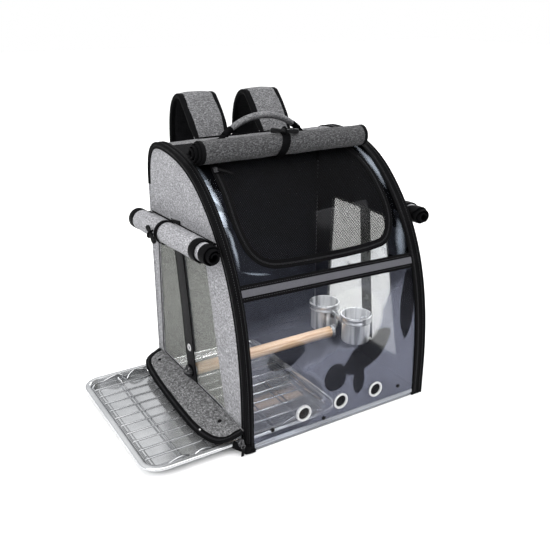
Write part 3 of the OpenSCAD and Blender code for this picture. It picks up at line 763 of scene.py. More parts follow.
# ------------------------------------------------------------------
# camera, stage and light
# ------------------------------------------------------------------
cam_data = bpy.data.cameras.new("camera")
cam = bpy.data.objects.new("camera", cam_data)
bpy.context.scene.collection.objects.link(cam)
bpy.context.scene.camera = cam
cam_data.sensor_width = 36.0
cam_data.sensor_fit = "HORIZONTAL"
cam_data.lens = 36.0 * 700.0 / 550.0
cam_data.clip_start = 0.05
cam_data.clip_end = 30
az, el, roll = math.radians(-31.694), math.radians(21.292), math.radians(0.137)
back = np.array([math.sin(az) * math.cos(el), -math.cos(az) * math.cos(el), math.sin(el)])
fwd = -back
right = np.cross(fwd, [0, 0, 1.0])
right /= np.linalg.norm(right)
upv = np.cross(right, fwd)
r2 = math.cos(roll) * right + math.sin(roll) * upv
u2 = -math.sin(roll) * right + math.cos(roll) * upv
cam_pos = np.array([-594.063, -923.676, 624.419]) * 0.001
cam.matrix_world = Matrix(((r2[0], u2[0], -fwd[0], cam_pos[0]), (r2[1], u2[1], -fwd[1], cam_pos[1]), (r2[2], u2[2], -fwd[2], cam_pos[2]), (0, 0, 0, 1)))

bpy.context.scene.view_settings.view_transform = "Standard"
world = bpy.data.worlds.new("world")
bpy.context.scene.world = world
world.use_nodes = True
wn = world.node_tree
bg = wn.nodes["Background"]
wtc = wn.nodes.new("ShaderNodeTexCoord")
wsep = wn.nodes.new("ShaderNodeSeparateXYZ")
wn.links.new(wtc.outputs["Generated"], wsep.inputs[0])
wr = ramp(wn, math_node(wn, "ADD", math_node(wn, "MULTIPLY", wsep.outputs["Z"], 0.5), 0.5), [(0.0, (1.0, 1.0, 1.0)), (0.503, (1.0, 1.0, 1.0)), (0.53, (0.38, 0.39, 0.41)), (0.66, (0.45, 0.46, 0.48)), (0.85, (1.0, 1.0, 1.0))])
wn.links.new(wr.outputs[0], bg.inputs[0])
bg.inputs[1].default_value = 1.0

fm, fnt, fb, fo, ftc = base_mat("floor_mat")
fb.inputs["Base Color"].default_value = (0.86, 0.86, 0.86, 1)
fb.inputs["Roughness"].default_value = 0.95
fb.inputs["Specular IOR Level"].default_value = 0.1
floor = mesh("floor", [(-9000, -9000, -0.6), (9000, -9000, -0.6), (9000, 9000, -0.6), (-9000, 9000, -0.6)], [(0, 1, 2, 3)], fm, smooth=False)


def area(name, loc, target, size, power, size_y=None, color=(1, 1, 1)):
    d = bpy.data.lights.new(name, "AREA")
    d.energy = power
    d.color = color
    d.shape = "RECTANGLE" if size_y else "SQUARE"
    d.size = size
    if size_y:
        d.size_y = size_y
    o = bpy.data.objects.new(name, d)
    bpy.context.scene.collection.objects.link(o)
    o.location = loc
    o.rotation_euler = (Vector(target) - Vector(loc)).to_track_quat("-Z", "Y").to_euler()
    return o


area("key", (-2.2, -0.9, 1.5), (-0.05, 0, 0.2), 1.4, 46)
area("front_soft", (1.2, -2.3, 1.5), (0, 0, 0.2), 1.2, 20).visible_glossy = False
area("top_soft", (0.0, 0.3, 2.6), (0, 0, 0.2), 2.4, 24).visible_glossy = False
area("rim", (2.0, 1.8, 1.5), (0, 0, 0.25), 1.4, 26)
fill = area("inside_fill", (0.05, -0.06, 0.335), (0.06, 0.02, 0.03), 0.10, 0.27)
fill.visible_camera = False
fill.data.spread = math.radians(85)
sun_data = bpy.data.lights.new("sky_soft", "SUN")
sun_data.energy = 1.7
sun_data.angle = math.radians(70)
sun = bpy.data.objects.new("sky_soft", sun_data)
bpy.context.scene.collection.objects.link(sun)
sun.rotation_euler = Vector((0.15, 0.3, -1.0)).to_track_quat("-Z", "Y").to_euler()

rides = []


def put(ob, body, *replaced, slot=None):
    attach(ob, body)
    if replaced:
        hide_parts(*replaced)
    return ob


B = "carrier"


# ------------------------------------------------------------------
# more helpers that need the materials
# ------------------------------------------------------------------
def sharpen(ob, deg=40):
    ob.data.set_sharp_from_angle(angle=math.radians(deg))
    return ob


def set_uv(ob, uv):
    """uv per vertex, in metres"""
    me = ob.data
    lay = me.uv_layers.new(name="UVMap")
    idx = np.zeros(len(me.loops), int)
    me.loops.foreach_get("vertex_index", idx)
    u = np.asarray(uv, float)[idx % len(uv)] * 0.001
    lay.data.foreach_set("uv", u.ravel())


def shell(name, outer, inner, faces, mats, rim=0, uv=None):
    """closed thin body from an outer and an inner surface with the same triangles"""
    outer, inner = np.asarray(outer, float), np.asarray(inner, float)
    f0 = np.array([f[:3] for f in faces])
    n = np.cross(outer[f0[:, 1]] - outer[f0[:, 0]], outer[f0[:, 2]] - outer[f0[:, 0]])
    c = (n * (outer - inner)[f0[:, 0]]).sum()
    if c < 0:
        faces = [list(f)[::-1] for f in faces]
    k = len(outer)
    fs = [list(f) for f in faces] + [[i + k for i in f[::-1]] for f in faces]
    ed = set()
    for f in faces:
        f = list(f)
        for a, b in zip(f, f[1:] + f[:1]):
            ed.add((a, b))
    rims = [(a, b) for a, b in ed if (b, a) not in ed]
    rf = [[b, a, a + k, b + k] for a, b in rims]
    ob = mesh(name, np.vstack([outer, inner]), fs + rf, mats)
    if len(ob.data.polygons) == len(fs) + len(rf):
        ob.data.polygons.foreach_set("material_index", [0] * len(faces) + [1 if len(ob.data.materials) > 1 else 0] * len(faces) + [rim] * len(rf))
    if uv is not None:
        set_uv(ob, uv)
    return sharpen(ob)


def round_poly(pts, r, n=5):
    pts = [np.asarray(p, float) for p in pts]
    rr_ = r if hasattr(r, "__len__") else [r] * len(pts)
    out = []
    for i, p in enumerate(pts):
        a, b = pts[i - 1], pts[(i + 1) % len(pts)]
        q = rr_[i]
        la, lb = np.linalg.norm(a - p), np.linalg.norm(b - p)
        q = min(q, la * 0.45, lb * 0.45)
        if q < 0.05:
            out.append(p)
            continue
        p0, p1 = p + (a - p) / la * q, p + (b - p) / lb * q
        for k in range(n + 1):
            t = k / n
            out.append((1 - t) ** 2 * p0 + 2 * (1 - t) * t * p + t * t * p1)
    return np.array(out)


def spline(pts, n=8, closed=True):
    """smooth curve through the points (centripetal enough for evenly placed points)"""
    p = np.asarray(pts, float)
    m = len(p)
    out = []
    for i in range(m if closed else m - 1):
        p0 = p[(i - 1) % m] if closed or i > 0 else p[0]
        p1, p2 = p[i], p[(i + 1) % m]
        p3 = p[(i + 2) % m] if closed or i + 2 < m else p[-1]
        for k in range(n):
            t = k / n
            out.append(0.5 * (2 * p1 + (p2 - p0) * t + (2 * p0 - 5 * p1 + 4 * p2 - p3) * t * t + (3 * p1 - p0 - 3 * p2 + p3) * t ** 3))
    if not closed:
        out.append(p[-1])
    return np.array(out)


def resample(p, step, closed=True):
    p = np.asarray(p, float)
    q = np.vstack([p, p[:1]]) if closed else p
    s = np.concatenate([[0], np.cumsum(np.linalg.norm(np.diff(q, axis=0), axis=1))])
    n = max(3, int(round(s[-1] / step)))
    t = np.linspace(0, s[-1], n, endpoint=not closed) if closed else np.linspace(0, s[-1], n + 1)
    return np.stack([np.interp(t, s, q[:, k]) for k in range(q.shape[1])], -1)


def offset_poly(p, d):
    """moves a closed counter-clockwise outline outward by d"""
    p = np.asarray(p, float)
    t = np.roll(p, -1, 0) - np.roll(p, 1, 0)
    t /= np.linalg.norm(t, axis=1)[:, None] + 1e-9
    return p + np.stack([t[:, 1], -t[:, 0]], -1) * d


def cut(outline, holes=()):
    def ar(q):
        q = np.asarray(q, float)
        return abs(0.5 * (q[:, 0] * np.roll(q[:, 1], -1) - np.roll(q[:, 0], -1) * q[:, 1]).sum())
    o = np.asarray(outline, float)
    w, l = (o.max(0) - o.min(0)) / 1000
    a = (ar(o) - sum(ar(h) for h in holes)) / 1e6
    return {"flat": (float(w), float(l)), "area": float(min(a, w * l))}


def dashes(name, path, normal, mat, length=2.6, gap=1.5, width=0.55, height=0.35, closed=False):
    """a row of stitches along a path: small raised threads"""
    p = np.asarray(path, float)
    q = np.vstack([p, p[:1]]) if closed else p
    nn = np.broadcast_to(np.asarray(normal, float), p.shape)
    nq = np.vstack([nn, nn[:1]]) if closed else nn
    s = np.concatenate([[0], np.cumsum(np.linalg.norm(np.diff(q, axis=0), axis=1))])
    vs, fs = [], []
    a = gap
    while a + length < s[-1]:
        m = a + length / 2
        P = np.array([[np.interp(x, s, q[:, k]) for k in range(3)] for x in (a, m, a + length)])
        N = np.array([np.interp(m, s, nq[:, k]) for k in range(3)])
        N /= np.linalg.norm(N)
        T = P[2] - P[0]
        T /= np.linalg.norm(T)
        W = np.cross(T, N)
        b = len(vs)
        hs = (0.1, 1.0, 0.1)
        ws = (0.5, 1.0, 0.5)
        for k in range(3):
            for w, h in ((-1, 0), (-0.6, 1), (0.6, 1), (1, 0)):
                vs.append(P[k] + W * w * width / 2 * ws[k] + N * (h * height * hs[k] - 0.05))
        for k in range(2):
            for j in range(3):
                i0 = b + k * 4 + j
                fs.append((i0, i0 + 1, i0 + 5, i0 + 4))
            fs.append((b + k * 4 + 3, b + k * 4, b + k * 4 + 4, b + k * 4 + 7))
        fs.append((b + 3, b + 2, b + 1, b))
        fs.append((b + 8, b + 9, b + 10, b + 11))
        a += length + gap
    return mesh(name, vs, fs, mat)


def blocks(name, centers, ts, ns, size, mat, chamfer=0.25):
    """many small chamfered blocks, such as zip teeth: size = (along, across, high)"""
    vs, fs = [], []
    L, W_, H = size
    for c, t, n in zip(centers, ts, ns):
        w = np.cross(t, n)
        b = len(vs)
        for h, k in ((0, 1.0), (H * 0.65, 1.0), (H, 0.6)):
            for a, q in ((-1, -1), (1, -1), (1, 1), (-1, 1)):
                vs.append(c + t * a * L / 2 * k + w * q * W_ / 2 * (k if h else 1) + n * h)
        for l in range(2):
            for j in range(4):
                a0, a1 = b + l * 4 + j, b + l * 4 + (j + 1) % 4
                fs.append((a0, a1, a1 + 4, a0 + 4))
        fs.append((b + 3, b + 2, b + 1, b))
        fs.append((b + 8, b + 9, b + 10, b + 11))
    return mesh(name, vs, fs, mat, smooth=False)


# ------------------------------------------------------------------
# shell: side panels with their windows
# ------------------------------------------------------------------
def win(yb, zl, e=0.0, n=14):
    out = []
    for i in range(n + 1):
        t = i / n
        out.append((-96 * (1 - t) ** 2 - 144 * (1 - t) * t - 40 * t * t - e, (zl - e) * (1 - t) ** 2 + 300 * (1 - t) * t + (284 + e) * t * t))
    return out + [(yb - 8 + e, 284 + e), (yb + e, zl - e)]


def window_loop(yb, zl, e=0.0):
    w = win(yb, zl, e)
    r = [10] + [0] * (len(w) - 4) + [8, 8, 8]
    p = round_poly(w, r, 4)
    a = 0.5 * (p[:, 0] * np.roll(p[:, 1], -1) - np.roll(p[:, 0], -1) * p[:, 1]).sum()
    return p if a > 0 else p[::-1]


def body_outline(d, slot_cut):
    s = np.linspace(0, S_END, 150)
    p = prof(s) + pnor(s) * d
    pts = [tuple(q) for q in p]
    if slot_cut:
        pts += [(151.5, 0), (151.5, 30), (148, 34), (-151, 34), (-154.5, 30), (-154.5, 0)]
    return pts[::-1]


def side_panel(tag, sx, yb, slot_cut, seed):
    v, f = blob_grid(body_outline(-0.2, slot_cut), [window_loop(yb, 40)], 8.0)
    q = np.stack([v[:, 0], v[:, 1]], -1)
    bulge = smooth_noise(q, 170, seed) * 0.7 + smooth_noise(q, 55, seed + 1) * 0.25
    outer = np.stack([sx * (HW - 0.3 + bulge), v[:, 0], v[:, 1]], -1)
    inner = outer - np.array([sx * 2.0, 0, 0])
    ob = shell(tag + "_side_cloth", outer, inner, f, [M["grey_light"], M["lining"]])
    put(ob, B, tag + "_side_panel", slot="grey_fabric")
    cut(body_outline(-0.2, slot_cut), [window_loop(yb, 40)])
    # seam along the window: dark folded edge with a row of stitches outside it
    ca = np.linspace(-math.pi / 2, 0, 8)
    w = np.vstack([[(y, 39.6) for y in np.linspace(-86, yb - 12, 24)], np.stack([yb - 7.6 + 8 * np.cos(ca), 47.6 + 8 * np.sin(ca)], -1), [(yb + 0.4 - 8 * (z - 56) / 228, z) for z in np.linspace(60, 283, 30)]])
    bx = sx * (HW + 0.1)
    P = np.stack([np.full(len(w), bx), w[:, 0], w[:, 1]], -1)
    e = sweep(tag + "_window_edge", P, box_sec(1.5, 0.9, 0.3, 2), M["black_cloth"], up=(sx, 0, 0))
    put(e, B)
    w2 = resample(window_loop(yb, 40, 4.2), 3)
    P2 = np.stack([np.full(len(w2), sx * (HW + 0.05)), w2[:, 0], w2[:, 1]], -1)
    st = dashes(tag + "_window_stitch", P2, (sx, 0, 0), M["stitch_grey"], closed=True)
    put(st, B)
    return ob


def window_film(tag, sx, yb, seed):
    v, f = blob_grid(window_loop(yb, 40, 4.5), [], 8.0)
    bulge = smooth_noise(v, 120, seed) * 0.9
    outer = np.stack([sx * (HW - 2.6 + bulge * 0.5), v[:, 0], v[:, 1]], -1)
    inner = outer - np.array([sx * 0.5, 0, 0])
    ob = shell(tag + "_window_sheet", outer, inner, f, [M["side_film"], M["side_film"]], uv=v)
    put(ob, B, tag + "_window_film", slot="window_film")
    cut(window_loop(yb, 40, 4.5))
    return ob


# ------------------------------------------------------------------
# zip bands: one continuous binding that wraps the edge, with its zip
# ------------------------------------------------------------------
def side_w(s):
    # narrows from the foot to the back top edge
    return np.interp(s, [0, 250, 560, S_BACK], [12.8, 11.8, 8.2, 6.0])


def zip_band(tag, sx, fw, slot_cut):
    s = np.concatenate([np.linspace(0, S_BACK + 2, 230)])
    w = side_w(s)
    rows = []
    e = HW - fw + 0.0
    for si, wi in zip(s, w):
        sec = [(171.2, -wi - 0.6), (172.5, -wi - 0.5), (173.1, -wi + 0.3), (173.15, -wi + 1.0), (172.75, -wi + 1.7), (172.6, -wi + 2.3),
               (172.8, -wi * 0.6), (172.9, -3.6), (173.5, -3.0), (174.1, -1.9), (174.2, -0.6), (173.7, 0.7), (172.7, 1.7), (171.4, 2.1), (170.3, 1.7), (169.9, 1.15),
               (168.0, 1.2), (165.8, 1.2), (165.3, 1.9), (164.7, 2.15), (164.1, 1.9), (163.9, 1.25)]
        x0 = e
        sec += [(x0 + (163.9 - x0) * 0.55, 1.25), (x0 + 3.0, 1.2), (x0 + 2.5, 1.9), (x0 + 1.4, 2.1), (x0 + 0.4, 1.8), (x0, 0.9), (x0 + 0.1, -0.1), (x0 + 1.0, -0.5), (169.8, -0.6), (170.8, -wi)]
        rows.append(sec)
    rows = np.array(rows)
    y, z = prof(s)[:, 0], prof(s)[:, 1]
    n = pnor(s)
    X = sx * rows[:, :, 0]
    D = rows[:, :, 1]
    V = np.stack([X, y[:, None] + n[:, :1] * D, z[:, None] + n[:, 1:] * D], -1)
    nu, nv = V.shape[:2]
    f = grid_faces(nu, nv, False, True)
    if sx < 0:
        f = [q[::-1] for q in f]
    f.append(list(range(nv)) if sx < 0 else list(range(nv))[::-1])
    f.append([(nu - 1) * nv + k for k in range(nv)][::-1] if sx < 0 else [(nu - 1) * nv + k for k in range(nv)])
    ob = mesh(tag + "_zip_tape", V.reshape(-1, 3), f, M["black_tape"])
    sharpen(ob, 50)
    put(ob, B, tag + "_zip_band", slot="black_fabric")
    # coil of the zip between the corner and the inner edge
    ss = np.arange(6, S_BACK - 6, 2.1)
    xc = sx * (e + (163.9 - e) * 0.45)
    c = on_front(np.full(len(ss), xc), ss, 1.15)
    t2, n2 = ptan(ss), pnor(ss)
    t3 = np.stack([np.zeros(len(ss)), t2[:, 0], t2[:, 1]], -1)
    n3 = np.stack([np.zeros(len(ss)), n2[:, 0], n2[:, 1]], -1)
    co = blocks(tag + "_zip_coil", c, t3, n3, (1.25, 3.0, 0.85), M["coil"])
    put(co, B)
    # light stitch line on the side tape and the front tape
    sl = np.linspace(4, S_BACK - 4, 260)
    wl = side_w(sl)
    n2 = pnor(sl)
    p2 = prof(sl)
    P = np.stack([np.full(len(sl), sx * 172.85), p2[:, 0] - n2[:, 0] * (wl * 0.5), p2[:, 1] - n2[:, 1] * (wl * 0.5)], -1)
    st1 = dashes(tag + "_tape_stitch_a", P, (sx, 0, 0), M["stitch"], length=2.4, gap=1.3)
    put(st1, B)
    P = on_front(np.full(len(sl), sx * 167.6), sl, 1.2)
    N = np.stack([np.zeros(len(sl)), n2[:, 0], n2[:, 1]], -1)
    st2 = dashes(tag + "_tape_stitch_b", P, N, M["stitch"], length=2.4, gap=1.3)
    put(st2, B)
    # edge binding that carries on down the back corner
    pb = np.stack([np.full(40, sx * 171.2), np.full(40, BY - 0.6), np.linspace(S_BACK * 0 + 345, 2, 40)], -1)
    bb = sweep(tag + "_back_binding", pb, box_sec(5.5, 4.6, 1.8, 4), M["grey_light"], up=(sx, 0.6, 0))
    put(bb, B)
    return ob


# ------------------------------------------------------------------
# front: clear sheets, reflective band, mesh door
# ------------------------------------------------------------------
def front_point_noise(x, s, amp, scale, seed):
    return smooth_noise(np.stack([np.asarray(x, float), np.asarray(s, float)], -1), scale, seed) * amp


DOOR = [(-138.6, 441), (-142, 396), (-145, 350), (-142, 318), (-133, 294), (-114, 277.5), (-81, 270), (17, 267), (86, 269.5), (112, 276.5), (129, 298), (137, 325), (139, 361), (137, 407), (130, 445), (121, 468), (104, 477), (0, 479), (-112, 477), (-130, 466)]


def door_loop(e=0.0, step=5.0):
    p = resample(spline(DOOR, 8), step)
    a = 0.5 * (p[:, 0] * np.roll(p[:, 1], -1) - np.roll(p[:, 0], -1) * p[:, 1]).sum()
    if a < 0:
        p = p[::-1]
    return offset_poly(p, e) if e else p


def clear_sheets():
    s1 = s_at_z(236)
    vent = [[(x + 11.8 * math.cos(a), 36 + 11.8 * math.sin(a)) for a in np.linspace(0, 2 * math.pi, 24, endpoint=False)] for x in (-70, 0, 70)]
    v, f = blob_grid([(-169, 6.5), (169, 6.5), (169, s1), (-169, s1)], vent, 7.0)
    d = front_point_noise(v[:, 0], v[:, 1], 1.0, 260, 11) + front_point_noise(v[:, 0], v[:, 1], 0.22, 70, 12)
    d = np.clip(d, -1.1, 1.1)
    ob = shell("lower_clear_sheet", on_front(v[:, 0], v[:, 1], d - 0.2), on_front(v[:, 0], v[:, 1], d - 0.75), f, [M["film"], M["film"]], uv=v)
    put(ob, B, "front_clear_lower", slot="clear_film")
    cut([(-169, 6.5), (169, 6.5), (169, s1), (-169, s1)], vent)
    s0, s2 = s_at_z(237), s_at_y(31.5)
    v, f = blob_grid([(-169, s0), (169, s0), (169, s2), (-169, s2)], [door_loop(-8)], 6.0)
    d = front_point_noise(v[:, 0], v[:, 1], 1.3, 95, 21) + front_point_noise(v[:, 0], v[:, 1], 0.5, 38, 22)
    ob = shell("upper_clear_sheet", on_front(v[:, 0], v[:, 1], d - 0.8), on_front(v[:, 0], v[:, 1], d - 1.35), f, [M["film_up"], M["film_up"]], uv=v)
    put(ob, B, "front_clear_upper", slot="clear_film")
    cut([(-169, s0), (169, s0), (169, s2), (-169, s2)], [door_loop(-8)])
    # welded hem along the bottom of the lower sheet
    x = np.linspace(-157, 151, 80)
    sec = [(6.0, -1.4), (6.0, 1.1), (11.5, 1.2), (12.0, 0.6), (12.0, -1.4)]
    V = np.stack([on_front(x, np.full(len(x), a), b) for a, b in sec], 1)
    f = grid_faces(len(x), len(sec), False, True)
    f.append(list(range(len(sec)))[::-1])
    f.append([(len(x) - 1) * len(sec) + k for k in range(len(sec))])
    hem = mesh("clear_sheet_hem", V.reshape(-1, 3), f, M["film_hem"])
    sharpen(hem)
    put(hem, B)


def stripe():
    x = np.linspace(-159.5, 152, 140)
    zc = np.interp(x, [-158, 151], [242.7, 236.2])
    sc = np.array([s_at_z(z) for z in zc])

    def strip_mesh(name, sec, mat):
        V = np.stack([on_front(x, sc + a, b) for a, b in sec], 1)
        f = grid_faces(len(x), len(sec), False, True)
        f.append(list(range(len(sec)))[::-1])
        f.append([(len(x) - 1) * len(sec) + k for k in range(len(sec))])
        return sharpen(mesh(name, V.reshape(-1, 3), f, mat), 50)
    a = strip_mesh("stripe_binding", [(-12.2, -0.3), (-12.2, 1.0), (-11.6, 1.7), (-10.4, 1.8), (-9.6, 1.4), (-8.9, 1.2), (-6.4, 1.3), (-5.6, 1.7), (5.6, 1.7), (6.4, 1.3), (8.9, 1.2), (9.6, 1.4), (10.4, 1.8), (11.6, 1.7), (12.2, 1.0), (12.2, -0.3)], M["black_tape"])
    put(a, B, "reflective_band", slot="black_fabric")
    b = strip_mesh("stripe_tape", [(-5.2, 1.5), (-5.1, 2.0), (-4.6, 2.15), (4.6, 2.15), (5.1, 2.0), (5.2, 1.5)], M["tape"])
    put(b, B, slot="reflective_tape")
    for i, o in enumerate((-8.0, 8.0)):
        P = on_front(x, sc + o, 1.25)
        n2 = pnor(sc)
        st = dashes(f"stripe_stitch_{i}", P, np.stack([np.zeros(len(x)), n2[:, 0], n2[:, 1]], -1), M["stitch"])
        put(st, B)


def mesh_door():
    out = door_loop(0, 4.0)
    s = out[:, 1]
    n2 = pnor(s)
    N = np.stack([np.zeros(len(s)), n2[:, 0], n2[:, 1]], -1)
    P = on_front(out[:, 0], s, 0.0)
    # section, outward positive, height above the surface
    sec = [(0.3, 0.2), (0.4, 1.2), (-0.2, 2.0), (-1.2, 2.2), (-2.0, 1.8), (-2.6, 1.3), (-4.2, 1.3), (-4.5, 1.25), (-7.6, 1.25), (-7.9, 1.3), (-9.6, 1.3), (-10.2, 1.8), (-11.2, 2.2), (-12.4, 2.0), (-13.0, 1.2), (-13.0, 0.3)]
    fr = sweep("door_zip_border", P, sec, M["black_tape"], closed=True, up=N)
    sharpen(fr, 50)
    put(fr, "mesh_door", "door_zip_frame", slot="black_fabric")
    mid = resample(offset_poly(out, -6.0), 2.1)
    nn = pnor(mid[:, 1])
    N3 = np.stack([np.zeros(len(mid)), nn[:, 0], nn[:, 1]], -1)
    C = on_front(mid[:, 0], mid[:, 1], 1.15)
    T = np.roll(C, -1, 0) - np.roll(C, 1, 0)
    T /= np.linalg.norm(T, axis=1)[:, None]
    low = C[:, 2] < 388          # the coil stops short of the hinge line, under the rolled cover
    C, T, N3 = C[low], T[low], N3[low]
    co = blocks("door_zip_coil", C, T, N3, (1.25, 2.8, 0.85), M["coil"])
    put(co, "mesh_door")
    v, f = blob_grid([tuple(q) for q in door_loop(-11.5, 6)], [], 6.5)
    cx, cy = v[:, 0], v[:, 1]
    sag = -1.2 * np.clip(1 - (cx / 125) ** 2, 0, 1) * np.clip(1 - ((cy - 370) / 100) ** 2, 0, 1)
    d = 0.9 + sag + front_point_noise(cx, cy, 0.5, 90, 31)
    ob = shell("door_net", on_front(cx, cy, d), on_front(cx, cy, d - 0.5), f, [M["mesh"], M["mesh"]], uv=v)
    put(ob, "mesh_door", "door_mesh", slot="black_mesh")
    cut(door_loop(-11.5, 6))


# ------------------------------------------------------------------
# vents and rivets in the clear sheet
# ------------------------------------------------------------------
def vents():
    for i, x in enumerate((-70, 0, 70)):
        pr = [(9.9, -2.0), (9.8, 0.6), (10.1, 1.6), (10.8, 2.1), (11.9, 2.2), (12.9, 1.8), (13.5, 1.0), (13.4, 0.2), (12.4, 0.0), (12.1, -1.0), (13.6, -1.5), (13.7, -2.2), (12, -2.8), (10.4, -2.7)]
        ob = lathe(f"vent_ring_{i}", pr, (x, FY - 0.1, 36), (0, -1, 0), M["ring"], 56, close=True)
        put(ob, B, "vent_eyelets", slot="eyelet_metal")
        nv = lathe(f"vent_net_{i}", [(0.0, -1.2), (9.9, -1.2), (9.9, -0.7), (0.0, -0.4)], (x, FY - 0.1, 36), (0, -1, 0), M["mesh_fine"], 40)
        put(nv, B, "vent_mesh", slot="black_mesh")
    for i, (x, z) in enumerate(((-126, 25), (-32, 15), (119, 27))):
        pr = [(0, 1.6), (1.6, 1.5), (2.9, 0.9), (3.2, 0.3), (3.1, 0.0), (1.4, -0.1), (1.4, -1.2), (3.1, -1.3), (2.8, -2.0), (0, -2.2)]
        ob = lathe(f"film_stud_{i}", pr[::-1], (x, FY - 0.1, z), (0, -1, 0), M["plastic"], 28)
        put(ob, B, "film_rivets", slot="black_plastic")


# ------------------------------------------------------------------
# rolled covers
# ------------------------------------------------------------------
def spiral_cover(name, axis_p, axis_q, ref, start, turn, r_out, pitch, turns, tail, mats, seed, thick=1.1, protrude=None, bind=6.5, taper=0.0):
    """a cloth rolled about the line axis_p to axis_q. ref is the direction of angle 0, start the angle in degrees where the
    tail joins, turn +1 or -1; tail is a list of points (2-D, in the plane across the axis, relative to it) from the seam to the roll"""
    a, b = np.asarray(axis_p, float), np.asarray(axis_q, float)
    L = np.linalg.norm(b - a)
    ax = (b - a) / L
    e1 = np.asarray(ref, float)
    e1 = e1 - e1 @ ax * ax
    e1 /= np.linalg.norm(e1)
    e2 = np.cross(ax, e1)
    th = np.linspace(0, turns * 2 * math.pi, int(turns * 40))
    ang = math.radians(start) + turn * th
    tn = th / (2 * math.pi)
    r = r_out - thick / 2 - pitch[0] * tn - pitch[1] * tn * tn
    sp = np.stack([r * np.cos(ang), r * np.sin(ang)], -1)
    tl = np.asarray(tail, float)
    line = np.vstack([tl, sp])
    line = np.vstack([spline(np.vstack([tl, sp[:1], sp[4:5]]), 6, closed=False)[:-6], sp]) if len(tl) else sp
    seg = np.linalg.norm(np.diff(line, axis=0), axis=1)
    keep = np.concatenate([[True], seg > 0.15])
    line = line[keep]
    arc = np.concatenate([[0], np.cumsum(np.linalg.norm(np.diff(line, axis=0), axis=1))])
    nl = len(line)
    rr_ = np.linalg.norm(line, axis=1)
    # turns made so far at each point of the line, 0 on the tail
    nt_ = np.interp(arc, [arc[-1] - np.linalg.norm(np.diff(sp, axis=0), axis=1).sum(), arc[-1]], [0, 1])
    cum = np.concatenate([[0], np.cumsum(np.linalg.norm(np.diff(sp, axis=0), axis=1))])
    nt_ = np.interp(nt_ * cum[-1], cum, tn)
    pa = np.array([protrude[0](q) for q in nt_]) if protrude else np.zeros(nl)
    pb = np.array([protrude[1](q) for q in nt_]) if protrude else np.zeros(nl)
    m = 34
    u = np.linspace(0, 1, m)
    t = np.gradient(line, axis=0)
    t /= np.linalg.norm(t, axis=1)[:, None]
    nrm = np.stack([t[:, 1], -t[:, 0]], -1) * turn
    rows_o, rows_i, uv = [], [], []
    for k in range(nl):
        x = (-pa[k]) + (L + pa[k] + pb[k]) * u
        q = np.stack([np.full(m, arc[k]), x], -1)
        w = (smooth_noise(q, 75, seed) * 0.55 + smooth_noise(q, 28, seed + 1) * 0.16) * min(1.0, 0.25 + rr_[k] / r_out)
        w = w * (0.4 + 0.6 * np.sin(np.pi * np.clip(u, 0.02, 0.98)) ** 0.3)
        for sgn, rows in ((0.5, rows_o), (-0.5, rows_i)):
            pp = line[k][None] * (1 - taper * u[:, None] * min(1.0, r_out / max(rr_[k], 1.0))) + nrm[k][None] * (w[:, None] + sgn * thick)
            rows.append(a + ax * x[:, None] + e1 * pp[:, :1] + e2 * pp[:, 1:])
        uv.append(q)
    O, I = np.array(rows_o).reshape(-1, 3), np.array(rows_i).reshape(-1, 3)
    ob = shell(name, O, I, [list(q) for q in grid_faces(nl, m)], mats, uv=np.array(uv).reshape(-1, 2))
    binds = []
    for end in (0, 1):
        x = (-pa + bind * 0.5 - 0.8) if end == 0 else (L + pb - bind * 0.5 + 0.8)
        kt = 1 - taper * end * np.minimum(1.0, r_out / np.maximum(rr_, 1.0))[:, None]
        P = a + ax * x[:, None] + e1 * (line[:, :1] * kt) + e2 * (line[:, 1:] * kt)
        up3 = e1 * nrm[:, :1] + e2 * nrm[:, 1:]
        bo = sweep(f"{name}_binding_{end}", P, box_sec(bind, thick + 1.0, 0.8, 2), M["black_tape"], up=up3)
        sharpen(bo, 50)
        binds.append(bo)
    return ob, binds, arc[-1], L


def step_up(q, at, width, height):
    return height * float(np.clip((q - at) / width, 0, 1)) ** 1.0


